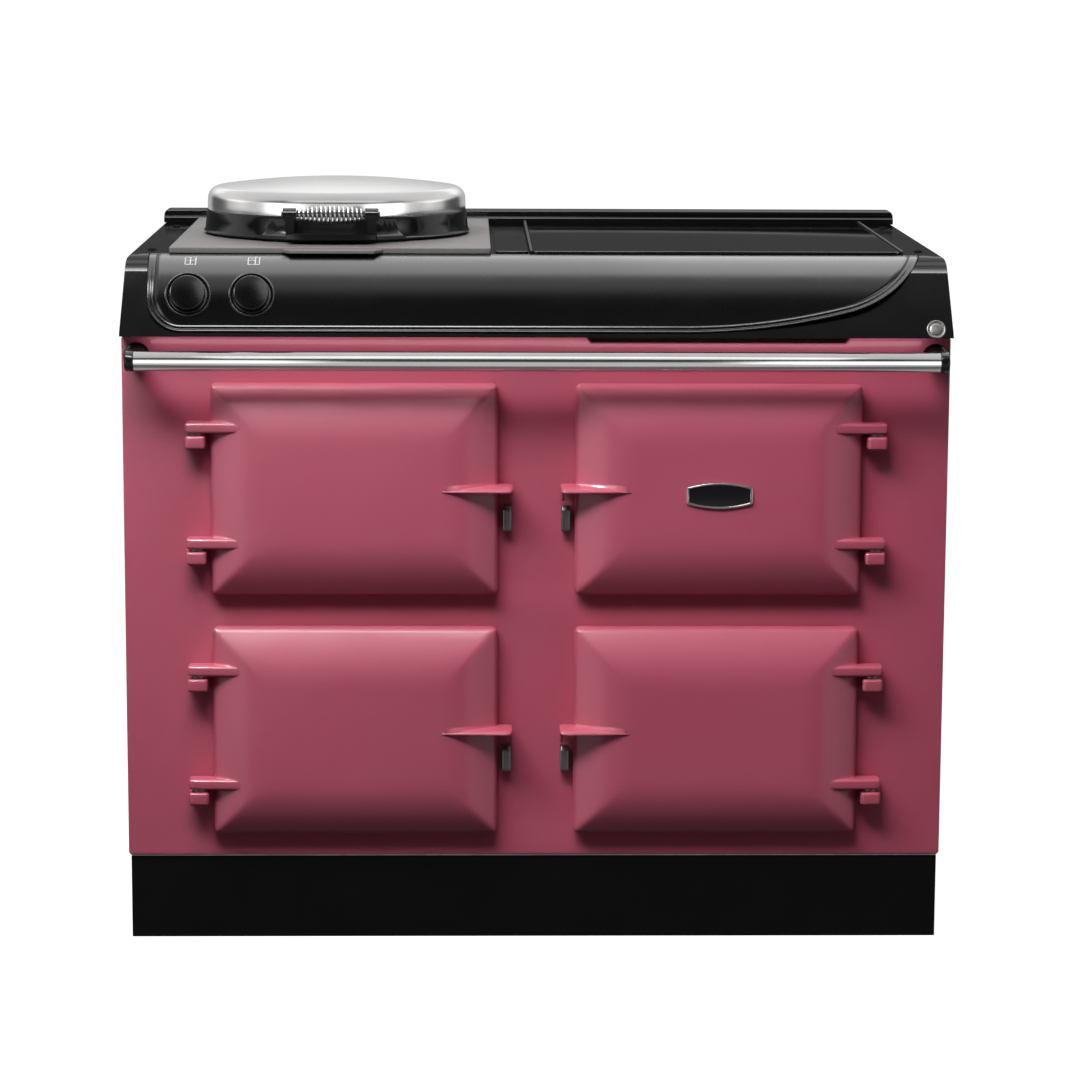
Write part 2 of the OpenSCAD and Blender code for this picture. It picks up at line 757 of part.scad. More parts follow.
// section of the dome's skin, offset inward by o
crown_r = 1182;
function dome_pts(o) = concat(
    [[180.3 - o, ring_z + ring_h]],
    arc([163, 981.9], 17 - o, 0, 80, 9),
    [for (i = [1:8]) let (r = 166 * (1 - i / 8))
        [r, -171.7 + sqrt(pow(crown_r - o, 2) - r * r)]]);
module lid_dome() {
    color([0.85, 0.85, 0.86]) translate([lid_x, lid_y, 0])
        rotate_extrude($fn = 180) difference() {
            polygon(concat([[0, ring_z + ring_h]], dome_pts(0)));
            polygon(concat([[0, ring_z + ring_h - 1]],
                [[177.8, ring_z + ring_h - 1]], dome_pts(2.5)));
        }
}
module lid_liner() {
    color([0.75, 0.75, 0.76]) translate([lid_x, lid_y, 0])
        rotate_extrude() polygon([[0, ring_z + 5], [168, ring_z + 5],
            [171.8, ring_z + 8], [171.8, ring_z + ring_h - 1],
            [169.8, ring_z + ring_h - 1], [169.8, ring_z + 9],
            [167, ring_z + 7], [0, ring_z + 7]]);
}

// coil handle: axis along X in front of the ring
coil_yz = [lid_y - 229, 974.5];
coil_l = 92;
module lid_handle_bracket() {
    y = coil_yz[0];
    z = coil_yz[1];
    color(black) difference() {
        union() {
            // band that hugs the front of the ring
            intersection() {
                translate([lid_x, lid_y, 0]) rotate_extrude()
                    polygon([[lid_r + 0.9, ring_z + 1],
                        [lid_r + 8, ring_z + 1],
                        [lid_r + 8, ring_z + 6],
                        [lid_r + 3, ring_z + 12],
                        [lid_r + 0.3, ring_z + 28],
                        [lid_r - 3.4, ring_z + 28],
                        [lid_r - 0.8, ring_z + 6],
                        [lid_r + 0.9, ring_z + 3.5]]);
                slab_y(lid_y - 260, lid_y) polygon([
                    [lid_x - 104, ring_z], [lid_x + 104, ring_z],
                    [lid_x + 97, ring_z + 5], [lid_x + 90, ring_z + 12],
                    [lid_x + 87, ring_z + 20], [lid_x + 86, ring_z + 30],
                    [lid_x - 86, ring_z + 30], [lid_x - 87, ring_z + 20],
                    [lid_x - 90, ring_z + 12], [lid_x - 97, ring_z + 5]]);
                translate([lid_x, lid_y, ring_z]) linear_extrude(30)
                    polygon([[0, 0], [-116, -186], [-116, -260],
                        [116, -260], [116, -186]]);
            }
            // two arms from the ring to the clamps
            for (s = [-1, 1]) difference() {
                bar_x(lid_x + s * 55 - 6, lid_x + s * 55 + 6)
                    polygon([[lid_y - 172, ring_z + 3],
                        [lid_y - 172, ring_z + 22],
                        [y + 7, z + 6], [y - 7, z + 3],
                        [y - 7, z - 6], [y + 4, ring_z + 14],
                        [lid_y - 205, ring_z + 3]]);
                translate([lid_x, lid_y, 900]) cylinder(h = 42,
                    r = lid_r + 0.8);
                translate([lid_x, lid_y, 942]) cylinder(h = 35,
                    r1 = lid_r, r2 = 180.5);
            }
            // tray between the arms, below the coil
            intersection() {
                box(lid_x - 60, y + 2, ring_z + 4, lid_x + 60,
                    lid_y - 180, ring_z + 12);
                difference() {
                    translate([lid_x, lid_y, 900])
                        cylinder(h = 90, r = 226);
                    translate([lid_x, lid_y, 899])
                        cylinder(h = 92, r = lid_r + 0.8);
                }
            }
            // clamps
            for (s = [-1, 1])
                cyl_x(lid_x + s * 55 - 9, lid_x + s * 55 + 9, y, z, 8.6);
        }
        cyl_x(lid_x - 70, lid_x + 70, y, z, 4);
    }
}
module lid_handle_rod() {
    color(steel) cyl_x(lid_x - 66, lid_x + 66, coil_yz[0], coil_yz[1],
        3.98);
}
// Wire of the coil: centre line of a barrel-shaped helix
wire_r = 1.5;
function coil_rad(t) = 6.4 + 5 * sin(180 * t);
function coil_pt(t) = let (a = 360 * coil_turns * t, r = coil_rad(t))
    [(t - 0.5) * (coil_l - 2 * wire_r), r * cos(a), r * sin(a)];
coil_n = coil_turns * 16;
function coil_ring(i) = let (t = i / coil_n,
    a = 360 * coil_turns * t, r = coil_rad(t))
    [for (k = [0:5]) let (b = 60 * k)
        [(t - 0.5) * (coil_l - 2 * wire_r) + wire_r * sin(b),
         (r + wire_r * cos(b)) * cos(a), (r + wire_r * cos(b)) * sin(a)]];
module lid_coil_handle() {
    pts = [for (i = [0:coil_n]) each coil_ring(i)];
    color([0.85, 0.85, 0.86])
        translate([lid_x, coil_yz[0], coil_yz[1]]) polyhedron(pts,
            concat([[5, 4, 3, 2, 1, 0]],
                [[for (k = [0:5]) coil_n * 6 + k]],
                [for (i = [0:coil_n - 1], k = [0:5]) each [
                    [i * 6 + k, i * 6 + (k + 1) % 6,
                     (i + 1) * 6 + (k + 1) % 6],
                    [i * 6 + k, (i + 1) * 6 + (k + 1) % 6,
                     (i + 1) * 6 + k]]]), convexity = 20);
}

// ------------------------------------------------------------- towel rail

rail_y = panel_y - rail_off;
rail_half = 527;
module towel_rail() {
    color([0.85, 0.85, 0.86]) difference() {
        cyl_x(-rail_half, rail_half, rail_y, rail_z, rail_r);
        cyl_x(-rail_half - 1, rail_half + 1, rail_y, rail_z, rail_r - 2);
    }
}
flange_x = 528.5;
module rail_brackets() {
    color(black) for (s = [-1, 1])
        mirror([s < 0 ? 1 : 0, 0, 0]) difference() {
            union() {
                cyl_x(rail_half, rail_half + 11.5, rail_y, rail_z, 14);
                cyl_y(rail_half - 1.5, rail_y, panel_y, rail_z, 13);
                cyl_y(flange_x, panel_y - 5, panel_y, rail_z, 17.5);
            }
            // seat behind the rail's end, and the screw's way through
            cyl_x(rail_half - 20, rail_half, rail_y, rail_z,
                rail_r + 0.4);
            cyl_x(rail_half - 1, rail_half + 12, rail_y, rail_z, 3);
        }
}
module panel_screws() {
    color([0.3, 0.3, 0.32]) {
        // through the ends of the rail brackets
        for (s = [-1, 1]) mirror([s < 0 ? 1 : 0, 0, 0]) union() {
            cyl_x(rail_half - 1, rail_half + 9, rail_y, rail_z, 2.9);
            cyl_x(rail_half - 7, rail_half - 1, rail_y, rail_z, 6);
        }
        // through the door catches
        for (c = catch_places)
            cyl_y(c[0], panel_y - 14, panel_y, c[1] + 8, 2.05);
    }
}

// ------------------------------------------------------------------ badge

badge_x = door_cx;
badge_z = door_top_cz - 3.5;
// bowed outline, half width w, half height h in the middle
function bow(w, h, e) = concat(
    [for (i = [0:12]) let (u = -1 + i / 6)
        [u * w, h - (h - e) * u * u]],
    [for (i = [0:12]) let (u = 1 - i / 6)
        [u * w, -h + (h - e) * u * u]]);
module badge_plate() {
    color([0.15, 0.15, 0.16])
        translate([badge_x, panel_y - back_gap - door_t, badge_z])
        difference() {
            slab_y(-3, 0) polygon(bow(43.5, 17.2, 11));
            slab_y(-4, -2) polygon(bow(41, 14.9, 9));
        }
}

// ------------------------------------------------------------- electrical

gland = [360, 200];
module terminal_box() {
    color([0.2, 0.2, 0.2]) difference() {
        union() {
            box(304, back_y - 58, 154, 416, back_y - 26, 246);
            // collar that carries it on the back panel
            difference() {
                box(296, back_y - 31, 146, 424, back_y - 3, 254);
                box(300, back_y - 28, 150, 420, back_y, 250);
            }
        }
        box(307, back_y - 55, 157, 413, back_y - 29, 243);
        cyl_y(gland[0], back_y - 32, back_y - 20, gland[1], 10);
    }
}
module cable_gland() {
    color([0.1, 0.1, 0.1]) difference() {
        union() {
            cyl_y(gland[0], back_y - 34, back_y - 8, gland[1], 9.9);
            translate([gland[0], back_y - 26, gland[1]])
                rotate([-90, 0, 0]) cylinder(h = 7, r = 15, $fn = 6);
            translate([gland[0], back_y - 14, gland[1]])
                rotate([-90, 0, 0]) cylinder(h = 12, r = 13.5);
            translate([gland[0], back_y - 34, gland[1]])
                rotate([-90, 0, 0]) cylinder(h = 4.8, r = 14, $fn = 6);
        }
        cyl_y(gland[0], back_y - 40, back_y + 1, gland[1], 7);
    }
}

// -------------------------------------------------------------- the model

plinth();
levelling_feet();
base_tray();
side_panel_left();
side_panel_right();
back_panel();
front_panel();
oven_liner_top_left();
oven_liner_top_right();
oven_liner_bottom_left();
oven_liner_bottom_right();
oven_shelves();
oven_elements();
insulation_jacket();
door_seal_ropes();
hinge_brackets();
hinge_pins();
hinge_washers();
door_catches();
panel_screws();
top_casting();
control_fascia();
top_screws();
hotplate_surround();
centre_infill();
hotplate();
hotplate_element();
hotplate_well();
hob_glass();
hob_side_trims();
induction_coils();
hob_tray();
back_upstand();
knob_bezels();
rotary_switches();
corner_roundel();
towel_rail();
rail_brackets();
terminal_box();
cable_gland();
back_panel_screws();
lid_hinge_brackets();
lid_hinge_pin();
door_top_left();
door_top_right();
door_bottom_left();
door_bottom_right();
door_liner_top_left();
door_liner_top_right();
door_liner_bottom_left();
door_liner_bottom_right();
badge_plate();
knob_left();
knob_right();
lid_dome();
lid_ring();
lid_liner();
lid_handle_bracket();
lid_coil_handle();
lid_handle_rod();
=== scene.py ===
import json
import math

import bmesh
import bpy
import numpy as np
from mathutils import Matrix, Vector

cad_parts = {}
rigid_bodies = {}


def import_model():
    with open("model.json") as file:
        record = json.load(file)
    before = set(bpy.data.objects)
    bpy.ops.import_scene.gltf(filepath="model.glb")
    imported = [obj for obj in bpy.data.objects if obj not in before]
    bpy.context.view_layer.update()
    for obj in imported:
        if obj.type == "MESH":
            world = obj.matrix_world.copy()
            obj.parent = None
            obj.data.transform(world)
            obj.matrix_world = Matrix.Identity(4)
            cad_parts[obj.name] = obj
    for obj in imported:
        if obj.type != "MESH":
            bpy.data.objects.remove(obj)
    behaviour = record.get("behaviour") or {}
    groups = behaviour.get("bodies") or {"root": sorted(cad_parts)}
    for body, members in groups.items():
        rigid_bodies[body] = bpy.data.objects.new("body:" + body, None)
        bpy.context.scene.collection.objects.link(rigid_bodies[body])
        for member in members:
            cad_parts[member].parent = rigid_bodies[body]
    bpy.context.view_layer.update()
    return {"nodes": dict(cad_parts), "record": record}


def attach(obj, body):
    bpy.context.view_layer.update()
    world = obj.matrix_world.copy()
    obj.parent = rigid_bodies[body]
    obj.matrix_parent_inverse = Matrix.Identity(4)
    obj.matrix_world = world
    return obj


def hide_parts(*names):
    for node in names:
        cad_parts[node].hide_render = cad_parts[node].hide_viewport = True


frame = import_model()
NODE = frame["nodes"]
scene = bpy.context.scene
scene.view_settings.view_transform = "Standard"
scene.view_settings.look = "None"
MM = 0.001
BODY = {n: b for b, ns in frame["record"]["behaviour"]["bodies"].items() for n in ns}

# ------------------------------------------------------------------ camera
cam_data = bpy.data.cameras.new("camera")
cam = bpy.data.objects.new("camera", cam_data)
scene.collection.objects.link(cam)
scene.camera = cam
PITCH, YAW, ROLL = 0.1653, -0.0217, 0.0046
cam_data.sensor_fit = "HORIZONTAL"
cam_data.sensor_width = 36.0
cam_data.lens = 36.0 * 3.4965 / 1.08
cam_data.clip_start, cam_data.clip_end = 0.1, 400.0
yaw_m = Matrix.Rotation(YAW, 3, "Z")
right = yaw_m @ Vector((1, 0, 0))
fwd = yaw_m @ Vector((0, math.cos(PITCH), -math.sin(PITCH)))
up = yaw_m @ Vector((0, math.sin(PITCH), math.cos(PITCH)))
r2 = right * math.cos(ROLL) + up * math.sin(ROLL)
u2 = up * math.cos(ROLL) - right * math.sin(ROLL)
cam.matrix_world = Matrix(
    (
        (r2.x, u2.x, -fwd.x, -0.0948),
        (r2.y, u2.y, -fwd.y, -4.8703),
        (r2.z, u2.z, -fwd.z, 1.3158),
        (0, 0, 0, 1),
    )
)


# --------------------------------------------------------------- materials
class Mat:
    def __init__(self, name):
        self.m = bpy.data.materials.new(name)
        self.m.use_nodes = True
        self.nt = self.m.node_tree
        self.b = self.nt.nodes["Principled BSDF"]
        self.co = self.nt.nodes.new("ShaderNodeTexCoord").outputs["Object"]

    def node(self, kind, **props):
        n = self.nt.nodes.new(kind)
        for k, v in props.items():
            setattr(n, k, v)
        return n

    def set(self, **values):
        for k, v in values.items():
            k = k.replace("_", " ")
            s = self.b.inputs[k]
            s.default_value = (*v, 1.0) if isinstance(v, tuple) and len(v) == 3 else v
        return self

    def link(self, a, b):
        self.nt.links.new(a, b)
        return self

    def coords(self, scale=(1, 1, 1), rot=(0, 0, 0), loc=(0, 0, 0)):
        mp = self.node("ShaderNodeMapping")
        mp.inputs["Scale"].default_value = scale
        mp.inputs["Rotation"].default_value = rot
        mp.inputs["Location"].default_value = loc
        self.link(self.co, mp.inputs["Vector"])
        return mp.outputs["Vector"]

    def noise(self, scale, detail=3.0, rough=0.5, co=None, distortion=0.0):
        n = self.node("ShaderNodeTexNoise")
        n.inputs["Scale"].default_value = scale
        n.inputs["Detail"].default_value = detail
        n.inputs["Roughness"].default_value = rough
        n.inputs["Distortion"].default_value = distortion
        self.link(co or self.co, n.inputs["Vector"])
        return n.outputs["Fac"]

    def voronoi(self, scale, co=None, feature="F1", out="Distance"):
        n = self.node("ShaderNodeTexVoronoi", feature=feature)
        n.inputs["Scale"].default_value = scale
        self.link(co or self.co, n.inputs["Vector"])
        return n.outputs[out]

    def ramp(self, fac, stops):
        n = self.node("ShaderNodeValToRGB")
        e = n.color_ramp.elements
        while len(e) < len(stops):
            e.new(0.5)
        for s, (p, c) in zip(e, stops):
            s.position = p
            c = (c, c, c) if isinstance(c, (int, float)) else c
            s.color = (*c, 1.0)
        self.link(fac, n.inputs["Fac"])
        return n.outputs["Color"]

    def mix(self, fac, a, b, blend="MIX"):
        n = self.node("ShaderNodeMix", data_type="RGBA", blend_type=blend)
        for sock, v in ((n.inputs[0], fac), (n.inputs[6], a), (n.inputs[7], b)):
            if isinstance(v, bpy.types.NodeSocket):
                self.link(v, sock)
            elif isinstance(v, tuple):
                sock.default_value = (*v, 1.0) if len(v) == 3 else v
            else:
                sock.default_value = v
        return n.outputs[2]

    def math(self, op, a, b=None, clamp=False):
        n = self.node("ShaderNodeMath", operation=op, use_clamp=clamp)
        for sock, v in ((n.inputs[0], a), (n.inputs[1], b)):
            if v is None:
                continue
            if isinstance(v, bpy.types.NodeSocket):
                self.link(v, sock)
            else:
                sock.default_value = v
        return n.outputs[0]

    def attr(self, name):
        n = self.node("ShaderNodeAttribute", attribute_name=name)
        return n.outputs["Fac"]

    def bump(self, height, strength, distance, chain=None):
        n = self.node("ShaderNodeBump")
        n.inputs["Strength"].default_value = strength
        n.inputs["Distance"].default_value = distance
        self.link(height, n.inputs["Height"])
        if chain is not None:
            self.link(chain, n.inputs["Normal"])
        return n.outputs["Normal"]


def enamel(name, dark, mid, light, rough, coat, peel=0.00006, spec=0.5, edge=None,
           fine=0.04):
    """Vitreous enamel on cast iron: soft mottling, fine speckle, orange peel,
    a slow wave of the casting below, thin glaze along the edges."""
    m = Mat(name)
    big = m.noise(2.6, 2.0, 0.45)
    col = m.ramp(big, [(0.30, dark), (0.52, mid), (0.74, light)])
    speck = m.ramp(m.noise(1900.0, 1.0, 0.5), [(0.36, 1.0 - fine), (0.62, 1.0 + fine * 0.6)])
    col = m.mix(1.0, col, speck, "MULTIPLY")
    if edge is not None:
        wear = m.attr("wear")
        grain = m.noise(140.0, 4.0, 0.6)
        f = m.math("MULTIPLY", m.math("SUBTRACT", wear, 0.03, True), 5.0, True)
        f = m.math("MULTIPLY", f, m.math("ADD", grain, 0.05), True)
        col = m.mix(f, col, edge)
    m.link(col, m.b.inputs["Base Color"])
    r = m.ramp(m.noise(11.0, 4.0, 0.6), [(0.25, rough * 0.85), (0.75, rough * 1.18)])
    m.link(r, m.b.inputs["Roughness"])
    wave = m.bump(m.noise(14.0, 1.0, 0.4), 0.35, 0.0004)
    skin = m.bump(m.noise(330.0, 2.0, 0.5), 0.35, peel, wave)
    m.link(skin, m.b.inputs["Normal"])
    m.set(Specular_IOR_Level=spec, Coat_Weight=coat, Coat_Roughness=0.14, IOR=1.5)
    if coat:
        m.link(skin, m.b.inputs["Coat Normal"])
    return m.m


def metal(name, col, rough, brushed=None, scratch=0.25, aniso=0.0, dirt=None, spread=0.35):
    """Worked metal. brushed is the direction the marks run along: X, Y, Z, ring or None."""
    m = Mat(name)
    lo = tuple(c * 0.90 for c in col)
    hi = tuple(min(1.0, c * 1.04) for c in col)
    base = m.ramp(m.noise(6.0, 4.0, 0.6), [(0.3, lo), (0.7, hi)])
    if dirt is not None:
        base = m.mix(m.math("MULTIPLY", m.math("SUBTRACT", m.noise(38.0, 5.0, 0.65), 0.52, True), 2.4, True),
                     base, dirt)
    m.link(base, m.b.inputs["Base Color"])
    if brushed in ("X", "Y", "Z"):
        s = [900.0, 900.0, 900.0]
        s["XYZ".index(brushed)] = 6.0
        marks = m.noise(1.0, 2.0, 0.55, m.coords(tuple(s)))
    elif brushed == "fine":
        marks = m.noise(700.0, 3.0, 0.6)
    else:
        marks = m.noise(260.0, 4.0, 0.6)
    r = m.ramp(marks, [(0.3, max(0.02, rough * (1 - spread))), (0.7, rough * (1 + spread))])
    m.link(r, m.b.inputs["Roughness"])
    n = m.bump(marks, scratch, 0.00002)
    n = m.bump(m.noise(9.0, 2.0, 0.5), 0.15, 0.0003, n)
    m.link(n, m.b.inputs["Normal"])
    m.set(Metallic=1.0)
    return m.m


def spun(name, col, rough, centre, pitch=900.0, strength=0.12):
    """Polished or spun sheet with very fine rings about a vertical axis."""
    m = Mat(name)
    co = m.coords(loc=(-centre[0], -centre[1], 0))
    sep = m.node("ShaderNodeSeparateXYZ")
    m.link(co, sep.inputs[0])
    rad = m.math("SQRT", m.math("ADD", m.math("MULTIPLY", sep.outputs[0], sep.outputs[0]),
                                m.math("MULTIPLY", sep.outputs[1], sep.outputs[1])))
    comb = m.node("ShaderNodeCombineXYZ")
    m.link(rad, comb.inputs[0])
    rings = m.noise(pitch, 2.0, 0.6, comb.outputs[0])
    haze = m.noise(9.0, 4.0, 0.6)
    base = m.ramp(haze, [(0.3, tuple(c * 0.95 for c in col)), (0.7, tuple(min(1, c * 1.03) for c in col))])
    m.link(base, m.b.inputs["Base Color"])
    mixed = m.math("ADD", m.math("MULTIPLY", rings, 0.5), m.math("MULTIPLY", haze, 0.5))
    m.link(m.ramp(mixed, [(0.3, rough * 0.8), (0.7, rough * 1.25)]), m.b.inputs["Roughness"])
    m.link(m.bump(rings, strength, 0.00001), m.b.inputs["Normal"])
    m.set(Metallic=1.0)
    return m.m


def plain(name, col, rough, bump_scale=500.0, bump=0.2, depth=0.00005, spec=0.5, vary=0.12,
          metallic=0.0, coat=0.0, scale=14.0):
    """Painted, moulded or mineral surface with grain and tone variation."""
    m = Mat(name)
    base = m.ramp(m.noise(scale, 5.0, 0.6), [(0.28, tuple(c * (1 - vary) for c in col)),
                                            (0.72, tuple(min(1.0, c * (1 + vary)) for c in col))])
    m.link(base, m.b.inputs["Base Color"])
    g = m.noise(bump_scale, 3.0, 0.6)
    m.link(m.ramp(g, [(0.3, rough * 0.85), (0.7, min(1.0, rough * 1.15))]), m.b.inputs["Roughness"])
    m.link(m.bump(g, bump, depth), m.b.inputs["Normal"])
    m.set(Specular_IOR_Level=spec, Metallic=metallic, Coat_Weight=coat)
    return m.m


PINK_D, PINK_M, PINK_L = (0.525, 0.0780, 0.143), (0.555, 0.0850, 0.153), (0.585, 0.0920, 0.163)
M = {}
M["pink"] = enamel("pink_enamel", PINK_D, PINK_M, PINK_L, 0.58, 0.40, spec=0.40,
                   edge=(0.42, 0.045, 0.070), fine=0.025)
M["black"] = enamel("black_enamel", (0.0030, 0.0028, 0.0030), (0.0040, 0.0037, 0.0038),
                    (0.0062, 0.0054, 0.0052), 0.11, 0.0, peel=0.00003, spec=0.55,
                    edge=(0.008, 0.008, 0.0085), fine=0.10)
M["fascia"] = enamel("fascia_satin", (0.0030, 0.0028, 0.0032), (0.0038, 0.0035, 0.0040),
                     (0.0046, 0.0043, 0.0048), 0.255, 0.0, peel=0.00002, spec=1.0,
                     edge=(0.008, 0.008, 0.0085), fine=0.15)
M["plinth"] = plain("plinth_paint", (0.0055, 0.0053, 0.0058), 0.5, 900.0, 0.25, 0.00004, 0.1, 0.2)
M["surround"] = plain("surround_enamel", (0.200, 0.186, 0.184), 0.55, 1300.0, 0.35, 0.00005, 0.4, 0.08)
M["steel"] = metal("polished_steel", (0.74, 0.74, 0.73), 0.14, "X", 0.10, spread=0.3)
M["bright"] = metal("bright_fixings", (0.70, 0.70, 0.69), 0.22, "fine", 0.15)
M["catch"] = metal("catch_steel", (0.17, 0.168, 0.168), 0.38, "Z", 0.3, dirt=(0.09, 0.088, 0.085))
M["dark_steel"] = metal("dark_steel", (0.10, 0.10, 0.102), 0.40, "fine", 0.3, dirt=(0.05, 0.048, 0.045))
M["lid"] = spun("lid_steel", (0.80, 0.79, 0.785), 0.22, (-0.275, 0.048))
M["coil"] = metal("coil_steel", (0.60, 0.60, 0.60), 0.16, "fine", 0.08)
M["alu"] = metal("aluminium_sheet", (0.62, 0.63, 0.64), 0.36, "Z", 0.3)
M["glass"] = plain("hob_glass", (0.0060, 0.0062, 0.0070), 0.045, 60.0, 0.03, 0.00002, 0.55, 0.06)
M["trim"] = metal("trim_anodised", (0.030, 0.030, 0.032), 0.50, "Y", 0.2)
M["knob"] = plain("knob_plastic", (0.0075, 0.0075, 0.0080), 0.27, 900.0, 0.12, 0.00002, 0.5, 0.15)
M["bezel"] = plain("bezel_plastic", (0.0065, 0.0065, 0.0070), 0.22, 900.0, 0.12, 0.00002, 0.5, 0.15)
M["switch"] = plain("switch_plastic", (0.035, 0.035, 0.04), 0.5, 700.0, 0.3, 0.00006, 0.4, 0.15)
M["icon"] = plain("icon_print", (0.80, 0.80, 0.79), 0.5, 900.0, 0.1, 0.00001, 0.3, 0.05)
M["roundel"] = metal("roundel_metal", (0.26, 0.255, 0.25), 0.36, "fine", 0.4, dirt=(0.12, 0.116, 0.112))
M["rim"] = metal("rim_satin", (0.065, 0.065, 0.068), 0.20, "fine", 0.1)
M["screw"] = plain("screw_black", (0.008, 0.008, 0.009), 0.80, 900.0, 0.2, 0.00003, 0.04, 0.15)
M["badge_field"] = plain("badge_field", (0.010, 0.010, 0.012), 0.18, 1200.0, 0.25, 0.00003, 0.5, 0.2)
M["badge_rim"] = metal("badge_rim", (0.66, 0.66, 0.65), 0.16, "fine", 0.1)
M["bracket"] = enamel("bracket_enamel", (0.007, 0.007, 0.0075), (0.009, 0.009, 0.0095),
                      (0.011, 0.011, 0.0115), 0.16, 0.0, peel=0.00004, fine=0.1)
M["galv"] = None


def galvanised():
    m = Mat("galvanised_steel")
    cell = m.voronoi(75.0, out="Color")
    grey = m.node("ShaderNodeSeparateColor")
    m.link(cell, grey.inputs[0])
    m.link(m.ramp(grey.outputs[0], [(0.0, (0.40, 0.41, 0.42)), (1.0, (0.56, 0.57, 0.58))]), m.b.inputs["Base Color"])
    m.link(m.ramp(grey.outputs[1], [(0.0, 0.34), (1.0, 0.52)]), m.b.inputs["Roughness"])
    m.link(m.bump(m.noise(420.0, 3.0, 0.6), 0.2, 0.00003), m.b.inputs["Normal"])
    m.set(Metallic=1.0)
    return m.m


def cast_iron():
    m = Mat("raw_cast_iron")
    co = m.coords(loc=(0.275, -0.048, 0))
    sep = m.node("ShaderNodeSeparateXYZ")
    m.link(co, sep.inputs[0])
    rad = m.math("SQRT", m.math("ADD", m.math("MULTIPLY", sep.outputs[0], sep.outputs[0]),
                                m.math("MULTIPLY", sep.outputs[1], sep.outputs[1])))
    comb = m.node("ShaderNodeCombineXYZ")
    m.link(rad, comb.inputs[0])
    rings = m.noise(520.0, 2.0, 0.5, comb.outputs[0])
    blot = m.noise(17.0, 5.0, 0.65)
    col = m.ramp(blot, [(0.3, (0.035, 0.033, 0.031)), (0.55, (0.062, 0.058, 0.054)), (0.8, (0.085, 0.076, 0.068))])
    m.link(col, m.b.inputs["Base Color"])
    m.link(m.ramp(rings, [(0.3, 0.42), (0.7, 0.62)]), m.b.inputs["Roughness"])
    n = m.bump(rings, 0.35, 0.00006)
    m.link(m.bump(m.noise(800.0, 3.0, 0.6), 0.3, 0.00005, n), m.b.inputs["Normal"])
    m.set(Metallic=0.75)
    return m.m


def oven_enamel():
    m = Mat("oven_vitreous_enamel")
    dots = m.voronoi(520.0)
    f = m.math("LESS_THAN", dots, 0.10)
    base = m.mix(f, (0.012, 0.012, 0.014), (0.16, 0.16, 0.17))
    m.link(base, m.b.inputs["Base Color"])
    m.link(m.ramp(m.noise(30.0, 4.0, 0.6), [(0.3, 0.20), (0.7, 0.34)]), m.b.inputs["Roughness"])
    m.link(m.bump(m.noise(260.0, 3.0, 0.6), 0.35, 0.0001), m.b.inputs["Normal"])
    return m.m


def rope():
    m = Mat("seal_rope")
    w = m.node("ShaderNodeTexWave", wave_type="BANDS", bands_direction="DIAGONAL")
    w.inputs["Scale"].default_value = 210.0
    w.inputs["Distortion"].default_value = 1.5
    m.link(m.co, w.inputs["Vector"])
    m.link(m.ramp(w.outputs["Fac"], [(0.1, (0.055, 0.052, 0.047)), (0.9, (0.19, 0.18, 0.165))]), m.b.inputs["Base Color"])
    m.link(m.bump(w.outputs["Fac"], 0.9, 0.0008), m.b.inputs["Normal"])
    m.set(Roughness=0.95)
    return m.m


def wool():
    m = Mat("mineral_wool")
    n = m.noise(60.0, 8.0, 0.7, distortion=1.2)
    m.link(m.ramp(n, [(0.3, (0.34, 0.29, 0.16)), (0.7, (0.58, 0.52, 0.34))]), m.b.inputs["Base Color"])
    m.link(m.bump(n, 1.0, 0.003), m.b.inputs["Normal"])
    m.set(Roughness=1.0)
    return m.m


M["galv"] = galvanised()
M["iron"] = cast_iron()
M["oven"] = oven_enamel()
M["rope"] = rope()
M["wool"] = wool()
M["copper"] = metal("copper_winding", (0.78, 0.38, 0.22), 0.38, "fine", 0.5)


# ------------------------------------------------------------ mesh helpers
def shell(name, verts, faces, mat, sharp=38.0, scale=MM):
    """New object from points in millimetres."""
    me = bpy.data.meshes.new(name)
    v = np.asarray(verts, float) * scale
    me.from_pydata(v.tolist(), [], [tuple(f) for f in faces])
    me.validate()
    return finish_mesh(name, me, mat, sharp)


def finish_mesh(name, me, mat, sharp=38.0, weld=1e-6):
    bm = bmesh.new()
    bm.from_mesh(me)
    bmesh.ops.remove_doubles(bm, verts=bm.verts, dist=weld)
    bmesh.ops.recalc_face_normals(bm, faces=bm.faces)
    bm.to_mesh(me)
    bm.free()
    for p in me.polygons:
        p.use_smooth = True
    if sharp is not None:
        me.set_sharp_from_angle(angle=math.radians(sharp))
    me.materials.clear()
    me.materials.append(mat)
    me.name = name
    ob = bpy.data.objects.new(name, me)
    scene.collection.objects.link(ob)
    add_wear(me)
    return ob


